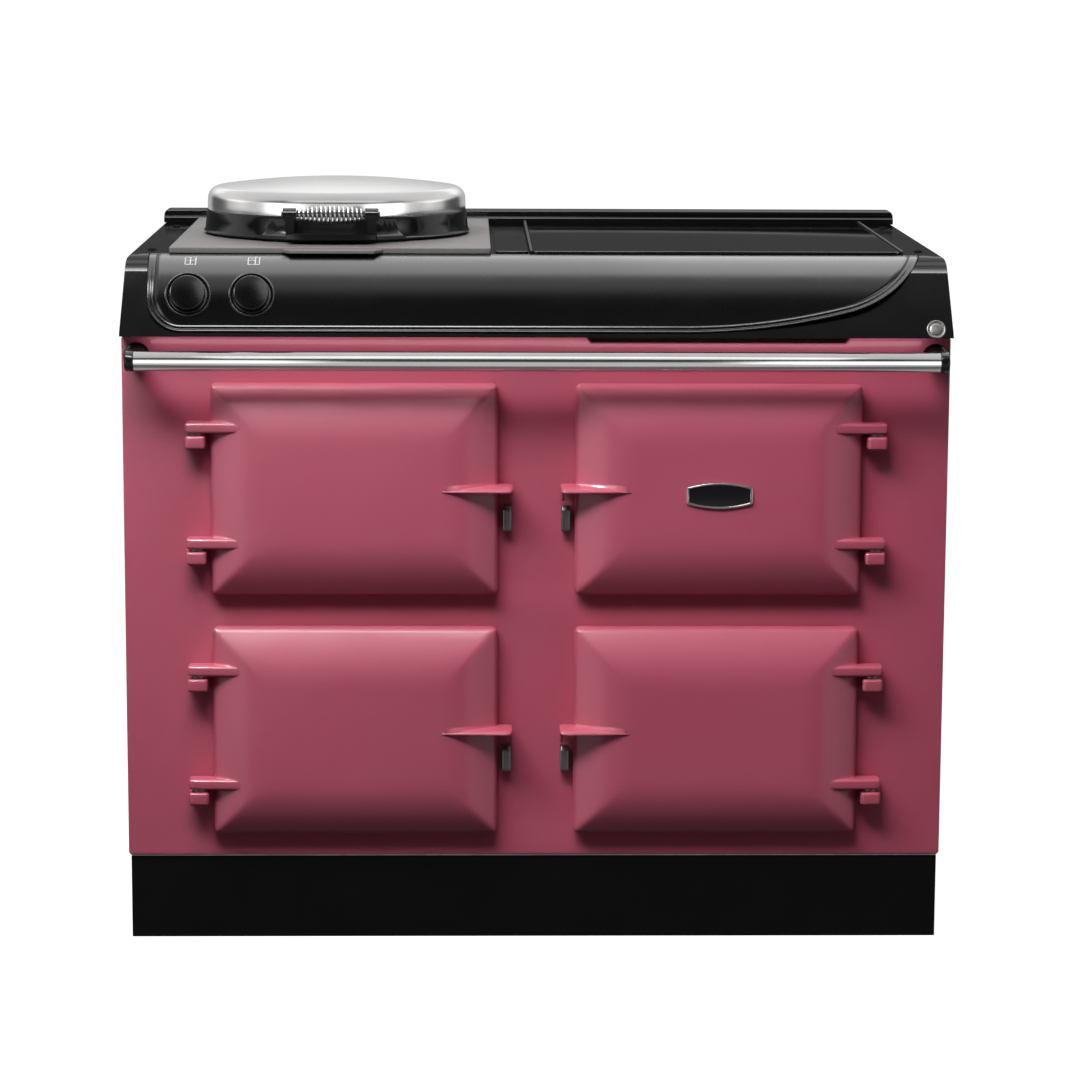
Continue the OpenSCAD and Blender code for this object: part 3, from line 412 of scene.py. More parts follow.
def add_wear(me):
    """Per-vertex convexity, used by the glazes for their thinner edges."""
    n = len(me.vertices)
    if n == 0:
        return
    co = np.zeros(n * 3)
    me.vertices.foreach_get("co", co)
    co = co.reshape(-1, 3)
    no = np.zeros(n * 3)
    me.vertices.foreach_get("normal", no)
    no = no.reshape(-1, 3)
    e = np.zeros(len(me.edges) * 2, np.int64)
    me.edges.foreach_get("vertices", e)
    e = e.reshape(-1, 2)
    d = co[e[:, 0]] - co[e[:, 1]]
    length = np.linalg.norm(d, axis=1)
    length[length < 1e-9] = 1e-9
    d /= length[:, None]
    w = np.zeros(n)
    cnt = np.zeros(n)
    c0 = np.einsum("ij,ij->i", no[e[:, 0]], d)
    c1 = -np.einsum("ij,ij->i", no[e[:, 1]], d)
    np.add.at(w, e[:, 0], c0)
    np.add.at(w, e[:, 1], c1)
    np.add.at(cnt, e.ravel(), 1)
    cnt[cnt == 0] = 1
    w = np.clip(w / cnt, 0, 1)
    a = me.attributes.get("wear") or me.attributes.new("wear", "FLOAT", "POINT")
    a.data.foreach_set("value", w.astype(np.float32))


def put(ob, body, slot, *nodes):
    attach(ob, body)
    if nodes:
        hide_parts(*nodes)
    return ob


def join(name, obs):
    """Joins objects that share one material and body into one piece."""
    base = obs[0]
    bm = bmesh.new()
    for o in obs:
        tmp = o.data.copy()
        tmp.transform(o.matrix_world)
        bm.from_mesh(tmp)
        bpy.data.meshes.remove(tmp)
    me = bpy.data.meshes.new(name)
    bm.to_mesh(me)
    bm.free()
    me.materials.append(base.data.materials[0])
    for p in me.polygons:
        p.use_smooth = True
    for o in obs:
        bpy.data.objects.remove(o)
    ob = bpy.data.objects.new(name, me)
    scene.collection.objects.link(ob)
    return ob


def arc2(c, r, a0, a1, n):
    return [(c[0] + r * math.cos(math.radians(a0 + (a1 - a0) * i / n)),
             c[1] + r * math.sin(math.radians(a0 + (a1 - a0) * i / n))) for i in range(n + 1)]


def rrect(x0, y0, x1, y1, r, n=8):
    return (arc2((x1 - r, y1 - r), r, 0, 90, n) + arc2((x0 + r, y1 - r), r, 90, 180, n)
            + arc2((x0 + r, y0 + r), r, 180, 270, n) + arc2((x1 - r, y0 + r), r, 270, 360, n))


def rounded(pts, r, n=4, closed=True):
    """Rounds the corners of a 2D outline."""
    pts = [Vector(p) for p in pts]
    out = []
    N = len(pts)
    for i, p in enumerate(pts):
        rr = r[i] if isinstance(r, (list, tuple)) else r
        if (not closed and i in (0, N - 1)) or rr <= 0:
            out.append(tuple(p))
            continue
        a, b = pts[i - 1], pts[(i + 1) % N]
        va, vb = (a - p), (b - p)
        la, lb = va.length, vb.length
        if la < 1e-6 or lb < 1e-6:
            out.append(tuple(p))
            continue
        va /= la
        vb /= lb
        ang = math.acos(max(-1, min(1, va.dot(vb))))
        if ang > math.pi - 0.03 or ang < 0.03:
            out.append(tuple(p))
            continue
        t = min(rr / math.tan(ang / 2), 0.48 * la, 0.48 * lb)
        r_ = t * math.tan(ang / 2)
        c = p + (va + vb).normalized() * (r_ / math.sin(ang / 2))
        s, e = p + va * t - c, p + vb * t - c
        a0 = math.atan2(s.y, s.x)
        a1 = math.atan2(e.y, e.x)
        d = (a1 - a0 + math.pi) % (2 * math.pi) - math.pi
        for k in range(n + 1):
            q = a0 + d * k / n
            out.append((c.x + r_ * math.cos(q), c.y + r_ * math.sin(q)))
    return out


AX = {
    "Z": Matrix(((1, 0, 0, 0), (0, 1, 0, 0), (0, 0, 1, 0), (0, 0, 0, 1))),
    # outline is (X, Z), depth runs along Y
    "Y": Matrix(((1, 0, 0, 0), (0, 0, 1, 0), (0, 1, 0, 0), (0, 0, 0, 1))),
    # outline is (Y, Z), depth runs along X
    "X": Matrix(((0, 0, 1, 0), (1, 0, 0, 0), (0, 1, 0, 0), (0, 0, 0, 1))),
}


def plate(name, loops, d0, d1, bevel, mat, axis="Z", seg=3, sharp=40.0):
    """Flat part from outlines (the first is the outer one) with rounded edges."""
    cu = bpy.data.curves.new(name, "CURVE")
    cu.dimensions = "2D"
    cu.fill_mode = "BOTH"
    half = (d1 - d0) / 2
    bevel = min(bevel, half - 0.01)
    cu.extrude = (half - bevel) * MM
    cu.bevel_depth = bevel * MM
    cu.bevel_resolution = seg
    cu.offset = -bevel * MM
    for loop in loops:
        sp = cu.splines.new("POLY")
        sp.points.add(len(loop) - 1)
        for p, q in zip(sp.points, loop):
            p.co = (q[0] * MM, q[1] * MM, 0, 1)
        sp.use_cyclic_u = True
    tmp = bpy.data.objects.new(name + "_c", cu)
    scene.collection.objects.link(tmp)
    dg = bpy.context.evaluated_depsgraph_get()
    me = bpy.data.meshes.new_from_object(tmp.evaluated_get(dg))
    bpy.data.objects.remove(tmp)
    bpy.data.curves.remove(cu)
    me.transform(Matrix.Translation((0, 0, (d0 + d1) / 2 * MM)))
    me.transform(AX[axis])
    return finish_mesh(name, me, mat, sharp, weld=2e-6)


def lathe(name, prof, mat, place, n=96, sharp=38.0, closed=False):
    """Turned part: prof is a list of (radius, height) in mm about the place's Z axis."""
    verts, faces, rows = [], [], []
    for r, z in prof:
        if r < 1e-6:
            rows.append([len(verts)])
            verts.append((0, 0, z))
        else:
            rows.append(list(range(len(verts), len(verts) + n)))
            for k in range(n):
                a = 2 * math.pi * k / n
                verts.append((r * math.cos(a), r * math.sin(a), z))
    pairs = list(zip(rows[:-1], rows[1:]))
    if closed:
        pairs.append((rows[-1], rows[0]))
    for a, b in pairs:
        if len(a) == 1 and len(b) == 1:
            continue
        for k in range(n):
            k2 = (k + 1) % n
            if len(a) == 1:
                faces.append((a[0], b[k], b[k2]))
            elif len(b) == 1:
                faces.append((a[k], a[k2], b[0]))
            else:
                faces.append((a[k], a[k2], b[k2], b[k]))
    me = bpy.data.meshes.new(name)
    me.from_pydata([tuple(c * MM for c in v) for v in verts], [], faces)
    me.transform(place)
    return finish_mesh(name, me, mat, sharp)


def at(x, y, z, direction="Z"):
    """Placement whose local Z axis points along a direction."""
    if isinstance(direction, str):
        direction = {"Z": (0, 0, 1), "X": (1, 0, 0), "-X": (-1, 0, 0), "Y": (0, 1, 0), "-Y": (0, -1, 0)}[direction]
    q = Vector((0, 0, 1)).rotation_difference(Vector(direction).normalized())
    return Matrix.Translation((x * MM, y * MM, z * MM)) @ q.to_matrix().to_4x4()


def tube(name, path, radius, mat, n=12, sharp=50.0, cap=True):
    """Round tube along points in mm; radius is a number or a list."""
    P = [Vector(p) for p in path]
    N = len(P)
    rad = radius if isinstance(radius, (list, tuple)) else [radius] * N
    tang = []
    for i in range(N):
        a = P[max(0, i - 1)]
        b = P[min(N - 1, i + 1)]
        tang.append((b - a).normalized())
    ref = Vector((0, 0, 1)) if abs(tang[0].z) < 0.9 else Vector((1, 0, 0))
    u = tang[0].cross(ref).normalized()
    verts, faces = [], []
    for i in range(N):
        u = (u - tang[i] * u.dot(tang[i])).normalized()
        w = tang[i].cross(u)
        for k in range(n):
            a = 2 * math.pi * k / n
            verts.append(tuple(P[i] + (u * math.cos(a) + w * math.sin(a)) * rad[i]))
    for i in range(N - 1):
        for k in range(n):
            k2 = (k + 1) % n
            faces.append((i * n + k, i * n + k2, (i + 1) * n + k2, (i + 1) * n + k))
    if cap:
        faces.append(tuple(range(n))[::-1])
        faces.append(tuple(range((N - 1) * n, N * n)))
    return shell(name, verts, faces, mat, sharp)


def refined(node, mat, slot, bevel=1.0, seg=2, angle=32.0, sharp=None, name=None, ride=None):
    """A finer copy of a CAD node: welded, flat faces merged, edges rounded."""
    src = NODE[node]
    ob = bpy.data.objects.new(name or node + "_fine", src.data.copy())
    scene.collection.objects.link(ob)
    me = ob.data
    if me.has_custom_normals:
        me.normals_split_custom_set([(0, 0, 0)] * len(me.loops))
    bm = bmesh.new()
    bm.from_mesh(me)
    bmesh.ops.remove_doubles(bm, verts=bm.verts, dist=2e-6)
    bmesh.ops.dissolve_limit(bm, angle_limit=math.radians(0.6), verts=bm.verts, edges=bm.edges)
    bmesh.ops.recalc_face_normals(bm, faces=bm.faces)
    for f in bm.faces:
        f.smooth = True
    for e in bm.edges:
        e.smooth = True
    bm.to_mesh(me)
    bm.free()
    if bevel > 0:
        mod = ob.modifiers.new("edge", "BEVEL")
        mod.width = bevel * MM
        mod.segments = seg
        mod.limit_method = "ANGLE"
        mod.angle_limit = math.radians(angle)
        mod.use_clamp_overlap = True
        mod.miter_outer = "MITER_ARC"
        mod.harden_normals = False
    wn = ob.modifiers.new("normals", "WEIGHTED_NORMAL")
    wn.keep_sharp = True
    wn.weight = 80
    dg = bpy.context.evaluated_depsgraph_get()
    me2 = bpy.data.meshes.new_from_object(ob.evaluated_get(dg))
    bpy.data.objects.remove(ob)
    me2.name = name or node + "_fine"
    me2.materials.clear()
    me2.materials.append(mat)
    add_wear(me2)
    ob = bpy.data.objects.new(name or node + "_fine", me2)
    scene.collection.objects.link(ob)
    put(ob, ride or BODY[node], slot, node)
    return ob


def paint(node, mat):
    ob = NODE[node]
    for i in range(len(ob.material_slots)):
        ob.material_slots[i].material = mat
    if not ob.material_slots:
        ob.data.materials.append(mat)


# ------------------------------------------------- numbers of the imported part
PANEL_Y = -266.0
DOOR_CX = 241.5
DOORS = {
    "door_top_left": (-1, 617.5),
    "door_top_right": (1, 617.5),
    "door_bottom_left": (-1, 290.5),
    "door_bottom_right": (1, 290.5),
}
DW, DH, DT, DRT, FW = 381.0, 283.0, 38.0, 14.0, 79.0
DR = (FW ** 2 + (DT - DRT) ** 2) / (2 * (DT - DRT))
RIM = 7.0
LUG_DZ = (77.0, -78.0)
HINGE_X = 451.0
AXX = DOOR_CX - HINGE_X
KNOBS = {"knob_left": -459.0, "knob_right": -375.5}
KNOB_DIR = (0, -math.cos(math.radians(20)), math.sin(math.radians(20)))
LID = (-275.0, 48.0)


# ------------------------------------------------------------------- doors
def th(d):
    d = np.clip(d, 0, FW)
    return DT - (DR - np.sqrt(DR ** 2 - (FW - d) ** 2))


def crown(d):
    """Height of the door's face at distance d from its edge, rounded rim included."""
    t = np.sqrt(np.clip(d, 0, RIM) / RIM)
    e = th(np.array(RIM))
    rimh = (1 - t) ** 2 * 8 + 2 * t * (1 - t) * (e - 3.2) + t ** 2 * e
    return np.where(d < RIM, rimh, th(d))


def smin(a, b, k):
    return -k * np.log(np.exp(-a / k) + np.exp(-b / k))


def face_h(x, z):
    a, b = crown(DW / 2 - abs(x)), crown(DH / 2 - abs(z))
    k = 1.3
    return smin(a, b, k) + k * math.log(2) * np.exp(-np.abs(a - b) / 1.5) * 0.5


def spaced(half, extra):
    """Grid lines from -half to half: dense at the rim, coarser inside."""
    ds = [RIM * (i / 8) ** 2 for i in range(9)]
    d = RIM
    while d < FW - 3:
        d += 4.2
        ds.append(d)
    ds.append(FW)
    ds = [x for x in ds if x < half]
    left = [-half + d for d in ds]
    n = int((half - ds[-1]) * 2 / 9) + 1
    mid = np.linspace(left[-1], -left[-1], n + 1)[1:-1].tolist()
    lines = left + mid + [-v for v in left[::-1]]
    lines += [e for e in extra if -half + 9.5 < e < half - 9.5]
    lines = sorted(lines)
    out = [lines[0]]
    for v in lines[1:]:
        if v - out[-1] > 0.28:
            out.append(v)
    out[-1] = half
    return out


BLADE = [(118.5, 0.0), (150.5, 6.6), (176.0, 14.0), (202.0, 30.0)]


def blade_front(x):
    """Y offset of the latch blade's front edge at x."""
    xs = [114.0, 118.5, 150.5, 180.0, 202.5, 208.0, 209.5]
    ys = [-40.2, -41.7, -45.2, -46.2, -46.6, -44.5, -39.0]
    return np.interp(x, xs, ys)


def lug_front(x):
    xs = [-223.0, -209.5, -170.5, -148.0, -140.0]
    ys = [-18.0, -31.5, -33.6, -35.0, -35.4]
    return np.interp(x, xs, ys)


def door_mesh():
    """Points and faces of a left-hinged door about its middle: x, depth, z in mm."""
    ze = []
    for z0, z1 in [(LUG_DZ[0], LUG_DZ[0] + 14), (LUG_DZ[1], LUG_DZ[1] + 14), (-1.0, 7.5)]:
        for k in range(0, 9):
            ze += [z0 - 0.3 - 0.95 * k, z1 + 0.3 + 0.95 * k]
    xe = [-181 + 3.2 * k for k in range(0, 16)] + [114 + 3.2 * k for k in range(0, 22)]
    X = spaced(DW / 2, xe)
    Z = spaced(DH / 2, ze)
    gx, gz = np.meshgrid(np.array(X), np.array(Z), indexing="ij")
    h = face_h(gx, gz)
    # fillets where the lugs and the latch blade grow out of the face
    back = 3.0

    def fillet(h, x, z, z0, z1, front, x_lo, x_hi, rmax):
        proud = np.clip(-front(x) - back - h, 0, 50)
        r = np.clip(proud * 0.8, 0, rmax) * (x > x_lo) * (x < x_hi)
        d = np.maximum(np.maximum(z0 - z, z - z1), 0)
        q = np.clip(r - d, 0, None)
        add = np.where(d < r, r - np.sqrt(np.clip(r * r - q * q, 0, None)), 0)
        return h + add

    for dz in LUG_DZ:
        h = fillet(h, gx, gz, dz + 1.2, dz + 12.8, lug_front, -191, -141, 5.0)
    h = fillet(h, gx, gz, 0.0, 6.3, blade_front, 118, 191, 4.2)
    # round corners
    c = 9.0
    cx, cz = DW / 2 - c, DH / 2 - c
    a = np.clip((np.abs(gx) - cx) / c, 0, 1)
    b = np.clip((np.abs(gz) - cz) / c, 0, 1)
    both = (a > 0) & (b > 0)
    wx = np.where(both, np.sign(gx) * (cx + c * a * np.sqrt(1 - b * b / 2)), gx)
    wz = np.where(both, np.sign(gz) * (cz + c * b * np.sqrt(1 - a * a / 2)), gz)
    nx, nz = gx.shape
    verts = [(float(wx[i, j]), float(-back - h[i, j]), float(wz[i, j])) for i in range(nx) for j in range(nz)]
    faces = [(i * nz + j, (i + 1) * nz + j, (i + 1) * nz + j + 1, i * nz + j + 1)
             for i in range(nx - 1) for j in range(nz - 1)]
    # side wall from the rim down to the back
    ring = ([i * nz for i in range(nx)] + [(nx - 1) * nz + j for j in range(1, nz)]
            + [i * nz + nz - 1 for i in range(nx - 2, -1, -1)] + [j for j in range(nz - 2, 0, -1)])
    prev = ring
    n = len(ring)

    def loop(depth, inset):
        ids = []
        for q in ring:
            x, _, z = verts[q]
            sx = 1 - inset / (DW / 2)
            sz = 1 - inset / (DH / 2)
            ids.append(len(verts))
            verts.append((x * sx, depth, z * sz))
        return ids

    for depth, inset in [(-8.5, 0.0), (-5.2, 0.0), (-3.9, 0.35), (-3.2, 1.2), (-3.0, 2.4)]:
        cur = loop(depth, inset)
        for k in range(n):
            k2 = (k + 1) % n
            faces.append((prev[k], prev[k2], cur[k2], cur[k]))
        prev = cur
    # back rim, then the hollow behind
    def hollow_pt(x, z, hx, hz, depth):
        # nearest point on the hollow's outline, along the ray from the middle
        s = min(hx / max(abs(x), 1e-6), hz / max(abs(z), 1e-6))
        return (x * s, depth, z * s)

    cur = []
    for q in ring:
        x, _, z = verts[q]
        cur.append(len(verts))
        verts.append(hollow_pt(x, z, 165.0, 115.0, -3.0))
    for k in range(n):
        k2 = (k + 1) % n
        faces.append((prev[k], prev[k2], cur[k2], cur[k]))
    prev = cur
    for hx, hz, depth in [(164.2, 114.2, -4.2), (163.0, 113.0, -18.0), (160.0, 110.0, -21.0)]:
        cur = []
        for q in ring:
            x, _, z = verts[q]
            cur.append(len(verts))
            verts.append(hollow_pt(x, z, hx, hz, depth))
        for k in range(n):
            k2 = (k + 1) % n
            faces.append((prev[k], prev[k2], cur[k2], cur[k]))
        prev = cur
    centre = len(verts)
    verts.append((0, -21.0, 0))
    for k in range(n):
        faces.append((prev[k], prev[(k + 1) % n], centre))
    return verts, faces


def blade_mesh():
    """Latch blade: sloping top, undercut below, hooked outer end."""
    verts, faces, rows = [], [], []
    xs = np.concatenate([np.linspace(115.0, 150, 12), np.linspace(154, 200, 13), [203, 205.5, 207.5, 208.8, 209.5]])
    for x in xs:
        yf = float(blade_front(x))
        yb = -12.0 if x < 190 else -7.0
        e = (x - 115.0) / 35.0
        top = 7.4 * min(1.0, 0.45 + 0.55 * e) if x < 150 else 7.4
        low = -0.9
        end = np.clip((x - 200) / 9.5, 0, 1)
        shrink = 1 - 0.30 * end ** 3
        mid = (top + low) / 2
        top = mid + (top - mid) * shrink
        low = mid + (low - mid) * shrink
        sec = []
        n1 = 12
        dep = min(30.0, abs(yf - yb))
        for k in range(n1 + 1):
            a = math.pi / 2 * k / n1
            # from the top at the back, curving down to the front edge
            yy = (yf + dep) - dep * math.sin(a) ** 1.0
            zz = low + 1.6 + (top - low - 1.6) * math.cos(a) ** 0.75
            sec.append((x, yy, zz))
        for k in range(1, 6):
            a = math.pi / 2 * k / 5
            sec.append((x, yf + 1.8 - 1.8 * math.cos(a), low + 1.6 - 1.6 * math.sin(a)))
        sec.append((x, yb, low))
        sec.append((x, yb, top))
        rows.append(list(range(len(verts), len(verts) + len(sec))))
        verts += sec
    m = len(rows[0])
    for a, b in zip(rows[:-1], rows[1:]):
        for k in range(m):
            k2 = (k + 1) % m
            faces.append((a[k], a[k2], b[k2], b[k]))
    faces.append(tuple(rows[0][::-1]))
    faces.append(tuple(rows[-1]))
    return verts, faces


def lug_outline():
    pts = [(AXX + 4, -4.5)] + arc2((AXX - 8.5, -9.5), 5, 90, 180, 6) + arc2((AXX - 8.5, -26.5), 5, 180, 270, 6)
    front = [(-190.0, -32.6), (-170.5, -33.7), (-156.0, -34.6), (-149.5, -34.9), (-146.0, -34.2), (-145.0, -31.5)]
    back = [(-146.5, -22.0), (-178.5, -8.0), (-188.5, -4.6)]
    return pts + front + back


def build_doors():
    dv, df = door_mesh()
    bv, bf = blade_mesh()
    lug = lug_outline()
    for name, (s, cz) in DOORS.items():
        parts = []

        def to_world(vs):
            return [(s * DOOR_CX + (x if s < 0 else -x), PANEL_Y + y, cz + z) for x, y, z in vs]

        parts.append(shell(name + "_skin", to_world(dv), df, M["pink"], 40))
        parts.append(shell(name + "_blade", to_world(bv), bf, M["pink"], 55))
        for dz in LUG_DZ:
            o = [(s * DOOR_CX + (x if s < 0 else -x), PANEL_Y + y) for x, y in lug]
            parts.append(plate(name + "_lug", [o], cz + dz, cz + dz + 14, 3.6, M["pink"], "Z", 5, 50))
        # hook that drops behind the catch
        hx0, hx1 = (204.8, 209.4)
        a, b = s * DOOR_CX - s * hx0, s * DOOR_CX - s * hx1
        parts.append(plate(name + "_hook", [rounded([(PANEL_Y - 40, cz + 3), (PANEL_Y - 14, cz + 3),
                                                    (PANEL_Y - 14, cz - 12.5), (PANEL_Y - 34, cz - 12.5)], 3.0, 5)],
                           min(a, b), max(a, b), 1.6, M["pink"], "X", 4, 50))
        ob = join(name + "_casting", parts)
        put(ob, name + "_body", "pink_enamel", name)


build_doors()


# ----------------------------------------------------------------- hinges
hp = []
for s in (-1, 1):
    for cz in (617.5, 290.5):
        for dz in LUG_DZ:
            hp.append((s * HINGE_X, cz + dz))
parts = []
for x, z in hp:
    z0, z1 = z - 21, z - 4
    yk = PANEL_Y - 33.0 + 5
    o = ([(x + 13.5, PANEL_Y + 0.0)] + arc2((x + 8.5, yk), 5, 0, -90, 6) + arc2((x - 8.5, yk), 5, -90, -180, 6)
         + [(x - 13.5, PANEL_Y + 0.0)])
    parts.append(plate("hb", [o], z0, z1, 3.2, M["pink"], "Z", 5, 50))
    # soft foot where the bracket grows out of the panel
    parts.append(plate("hf", [rrect(x - 16.2, z0 - 2.4, x + 16.2, z1 + 1.2, 5.0, 6)], PANEL_Y - 2.2, PANEL_Y + 0.6, 1.9,
                       M["pink"], "Y", 4, 60))
put(join("hinge_bracket_castings", parts), "cooker_body", "pink_enamel", "hinge_brackets")
parts = []
for x, z in hp:
    parts.append(lathe("pin", [(0, -21.0), (4.0, -21.0), (4.5, -20.5), (4.5, 8.3), (3.9, 9.0), (0, 9.0)], M["bright"],
                       at(x, PANEL_Y - 18, z), 32))
put(join("hinge_pin_turned", parts), "cooker_body", "fixing_steel", "hinge_pins")
parts = []
for x, z in hp:
    parts.append(lathe("wash", [(4.6, -4.0), (9.4, -4.0), (10.0, -3.6), (10.0, -0.8), (9.4, -0.3), (4.6, -0.3)],
                       M["dark_steel"], at(x, PANEL_Y - 18, z), 40, closed=True))
put(join("hinge_washer_turned", parts), "cooker_body", "dark_steel", "hinge_washers")


# ------------------------------------------------------------- front panel
def front_panel():
    notch = rounded([(-549, 115), (549, 115), (549, 821), (416, 821), (410, 812.5), (71, 812.5), (65, 821), (-549, 821)],
                    [5, 5, 5, 1.2, 3, 3, 1.2, 5], 6)
    holes, grooves = [], []
    for s, cz in DOORS.values():
        holes.append(rrect(s * DOOR_CX - 167, cz - 123, s * DOOR_CX + 167, cz + 123, 14, 8))
        grooves.append(rrect(s * DOOR_CX - 180, cz - 136, s * DOOR_CX + 180, cz + 136, 20, 8))
    a = plate("panel_a", [notch] + grooves, -266.0, -260.8, 2.2, M["pink"], "Y", 5, 45)
    b = plate("panel_b", [notch] + holes, -261.2, -254.0, 1.6, M["pink"], "Y", 4, 45)
    put(join("front_panel_casting", [a, b]), "cooker_body", "pink_enamel", "front_panel")


front_panel()


# ---------------------------------------------------------------- catches
def catches():
    parts = []
    for s, cz in DOORS.values():
        x, z = s * 39.0, cz - 39.0
        side = rounded([(PANEL_Y + 0.0, z - 17), (PANEL_Y - 14.6, z - 17), (PANEL_Y - 16, z - 14), (PANEL_Y - 16, z + 11.5),
                        (PANEL_Y - 12.2, z + 17), (PANEL_Y + 0.0, z + 17)], [0, 2.0, 2.0, 1.6, 2.0, 0], 5)
        parts.append(plate("catch", [side], x - 5.6, x + 5.6, 1.5, M["catch"], "X", 4, 50))
        # wear line where the hook rides
        parts.append(plate("catch_rib", [rrect(x - 1.2, z - 13.5, x + 3.6, z + 9.5, 1.2, 5)], PANEL_Y - 16.5, PANEL_Y - 15,
                           0.5, M["catch"], "Y", 3, 50))
    put(join("door_catch_blocks", parts), "cooker_body", "dark_steel", "door_catches")
    paint("panel_screws", M["dark_steel"])


catches()


# ------------------------------------------------------------------ fascia
FL, FB, FC = -513.0, 828.0, 45.0
C1 = (193.3, FB + 900.0)
C2 = (C1[0] + 740 * math.sin(math.radians(14)), C1[1] - 740 * math.cos(math.radians(14)))
FA, FBB, FCY, FCZ = 77.0, 97.0, -214.5, 828.0


def fascia_right(z, o):
    """X of the fascia's right border at height z, inset by o."""
    z14 = C1[1] - (900 - o) * math.cos(math.radians(14))
    if z <= z14:
        c = (C1[1] - z) / (900 - o)
        return C1[0] + (900 - o) * math.sqrt(max(0.0, 1 - c * c))
    s = (C2[1] - z) / (160 - o)
    return C2[0] + (160 - o) * math.sqrt(max(0.0, 1 - s * s))


def fascia_left(z, o):
    if z >= FB + FC:
        return FL + o
    q = (FC - o) ** 2 - (FB + FC - z) ** 2
    return FL + FC - math.sqrt(max(0.0, q))


def fascia_y(z, lift):
    u = math.asin(max(-1, min(1, (z - FCZ) / FBB)))
    return FCY - (FA + lift) * math.cos(u), u


def fascia():
    zs = []
    for a in (0, 0.7, 1.4, 2.4, 3.4, 4.6, 5.8, 7.0, 8.4, 9.8, 11.2, 12.6):
        zs.append((900 * (1 - math.cos(math.radians(a)))) / 97.0)
    u0 = math.degrees(math.asin(zs[-1]))
    for k in range(1, 37):
        zs.append(math.sin(math.radians(u0 + (90 - u0) * k / 36)))
    # inset from the border, lift from the panel's curve
    prof = [(0.0, -5.0), (0.0, -0.9), (0.15, 0.1), (0.7, 0.85), (1.4, 1.15), (2.1, 0.95), (2.9, 0.2), (3.6, -0.6),
            (4.3, -1.0), (5.0, -0.8), (5.6, -0.1), (6.2, 0.6), (6.9, 0.9), (7.6, 0.6), (8.3, 0.15), (9.2, 0.0)]
    cols = 110
    verts, faces = [], []

    def zlev(o, g):
        zb = FB + o
        return zb + (925.0 - zb) * g

    loops = []
    for o, lift in prof:
        ids = []
        for g in zs[::-1]:
            z = zlev(o, g)
            y, u = fascia_y(z, lift)
            ids.append(len(verts))
            verts.append((fascia_left(z, o), y, z))
        zb = zlev(o, 0)
        y, u = fascia_y(zb, lift)
        for k in range(1, cols):
            x = FL + FC + (C1[0] - FL - FC) * k / cols
            ids.append(len(verts))
            verts.append((x, y, zb))
        for g in zs:
            z = zlev(o, g)
            y, u = fascia_y(z, lift)
            ids.append(len(verts))
            verts.append((fascia_right(z, o), y, z))
        loops.append(ids)
    for a, b in zip(loops[:-1], loops[1:]):
        for k in range(len(a) - 1):
            faces.append((a[k], a[k + 1], b[k + 1], b[k]))
    # the panel inside the rim
    o = prof[-1][0]
    n = len(zs)
    inner = loops[-1]
    prev = [inner[n - 1]] + inner[n:n + cols - 1] + [inner[n + cols - 1]]
    for i in range(1, n):
        z = zlev(o, zs[i])
        y, u = fascia_y(z, 0)
        xl, xr = fascia_left(z, o), fascia_right(z, o)
        row = [inner[n - 1 - i]]
        for k in range(1, cols):
            row.append(len(verts))
            verts.append((xl + (xr - xl) * k / cols, y, z))
        row.append(inner[n + cols - 1 + i])
        for k in range(cols):
            faces.append((prev[k], prev[k + 1], row[k + 1], row[k]))
        prev = row
    n_rim = (len(prof) - 1) * (len(loops[0]) - 1)
    for name, part, mat in (("fascia_rim", faces[:n_rim], M["rim"]), ("fascia_panel", faces[n_rim:], M["fascia"])):
        used = sorted({i for f in part for i in f})
        index = {v: k for k, v in enumerate(used)}
        ob = shell(name, [verts[i] for i in used], [tuple(index[i] for i in f) for f in part], mat, 60)
        sol = ob.modifiers.new("wall", "SOLIDIFY")
        sol.thickness = (1.6 if name == "fascia_rim" else 4.0) * MM
        sol.offset = -1
        dg = bpy.context.evaluated_depsgraph_get()
        me = bpy.data.meshes.new_from_object(ob.evaluated_get(dg))
        ob.modifiers.clear()
        ob.data = me
        if name == "fascia_rim":
            put(ob, "cooker_body", "black_enamel")
        else:
            put(ob, "cooker_body", "black_enamel", "control_fascia")


fascia()


# ------------------------------------------------------------------- knobs
def knobs():
    bez = []
    for name, x in KNOBS.items():
        place = at(x, -281.4, 876, KNOB_DIR)
        R = 23.3
        prof = [(0, -44), (3, -44), (3, 2.5), (R - 3.6, 2.5), (R - 2.0, 3.2), (R - 0.7, 4.4), (R - 0.1, 6.0), (R, 8.0),
                (R, 11.6), (R - 0.15, 12.5), (R - 0.5, 13.2), (R - 1.1, 13.75), (R - 1.9, 14.05)]
        for k in range(1, 15):
            r = (R - 1.9) * (1 - k / 14)
            prof.append((r, 14.05 + 2.8 * (1 - (r / (R - 1.9)) ** 2)))
        ob = lathe(name + "_cap", prof, M["knob"], place, 128, 60)
        put(ob, name + "_body", "knob_plastic", name)
        b = [(3.6, -7.5), (30.2, -7.5), (31.0, -6.9), (31.0, 0.4), (30.8, 1.5), (30.2, 2.4), (29.3, 2.9), (28.5, 3.0),
             (27.7, 2.8), (26.9, 2.2), (26.0, 1.2), (25.2, 0.8), (24.4, 1.2), (23.9, 1.5), (22.0, 1.5), (3.6, 1.5)]
        bez.append(lathe("bezel", b, M["bezel"], place, 96, 50, closed=True))
    put(join("knob_bezel_rings", bez), "cooker_body", "knob_plastic", "knob_bezels")


knobs()


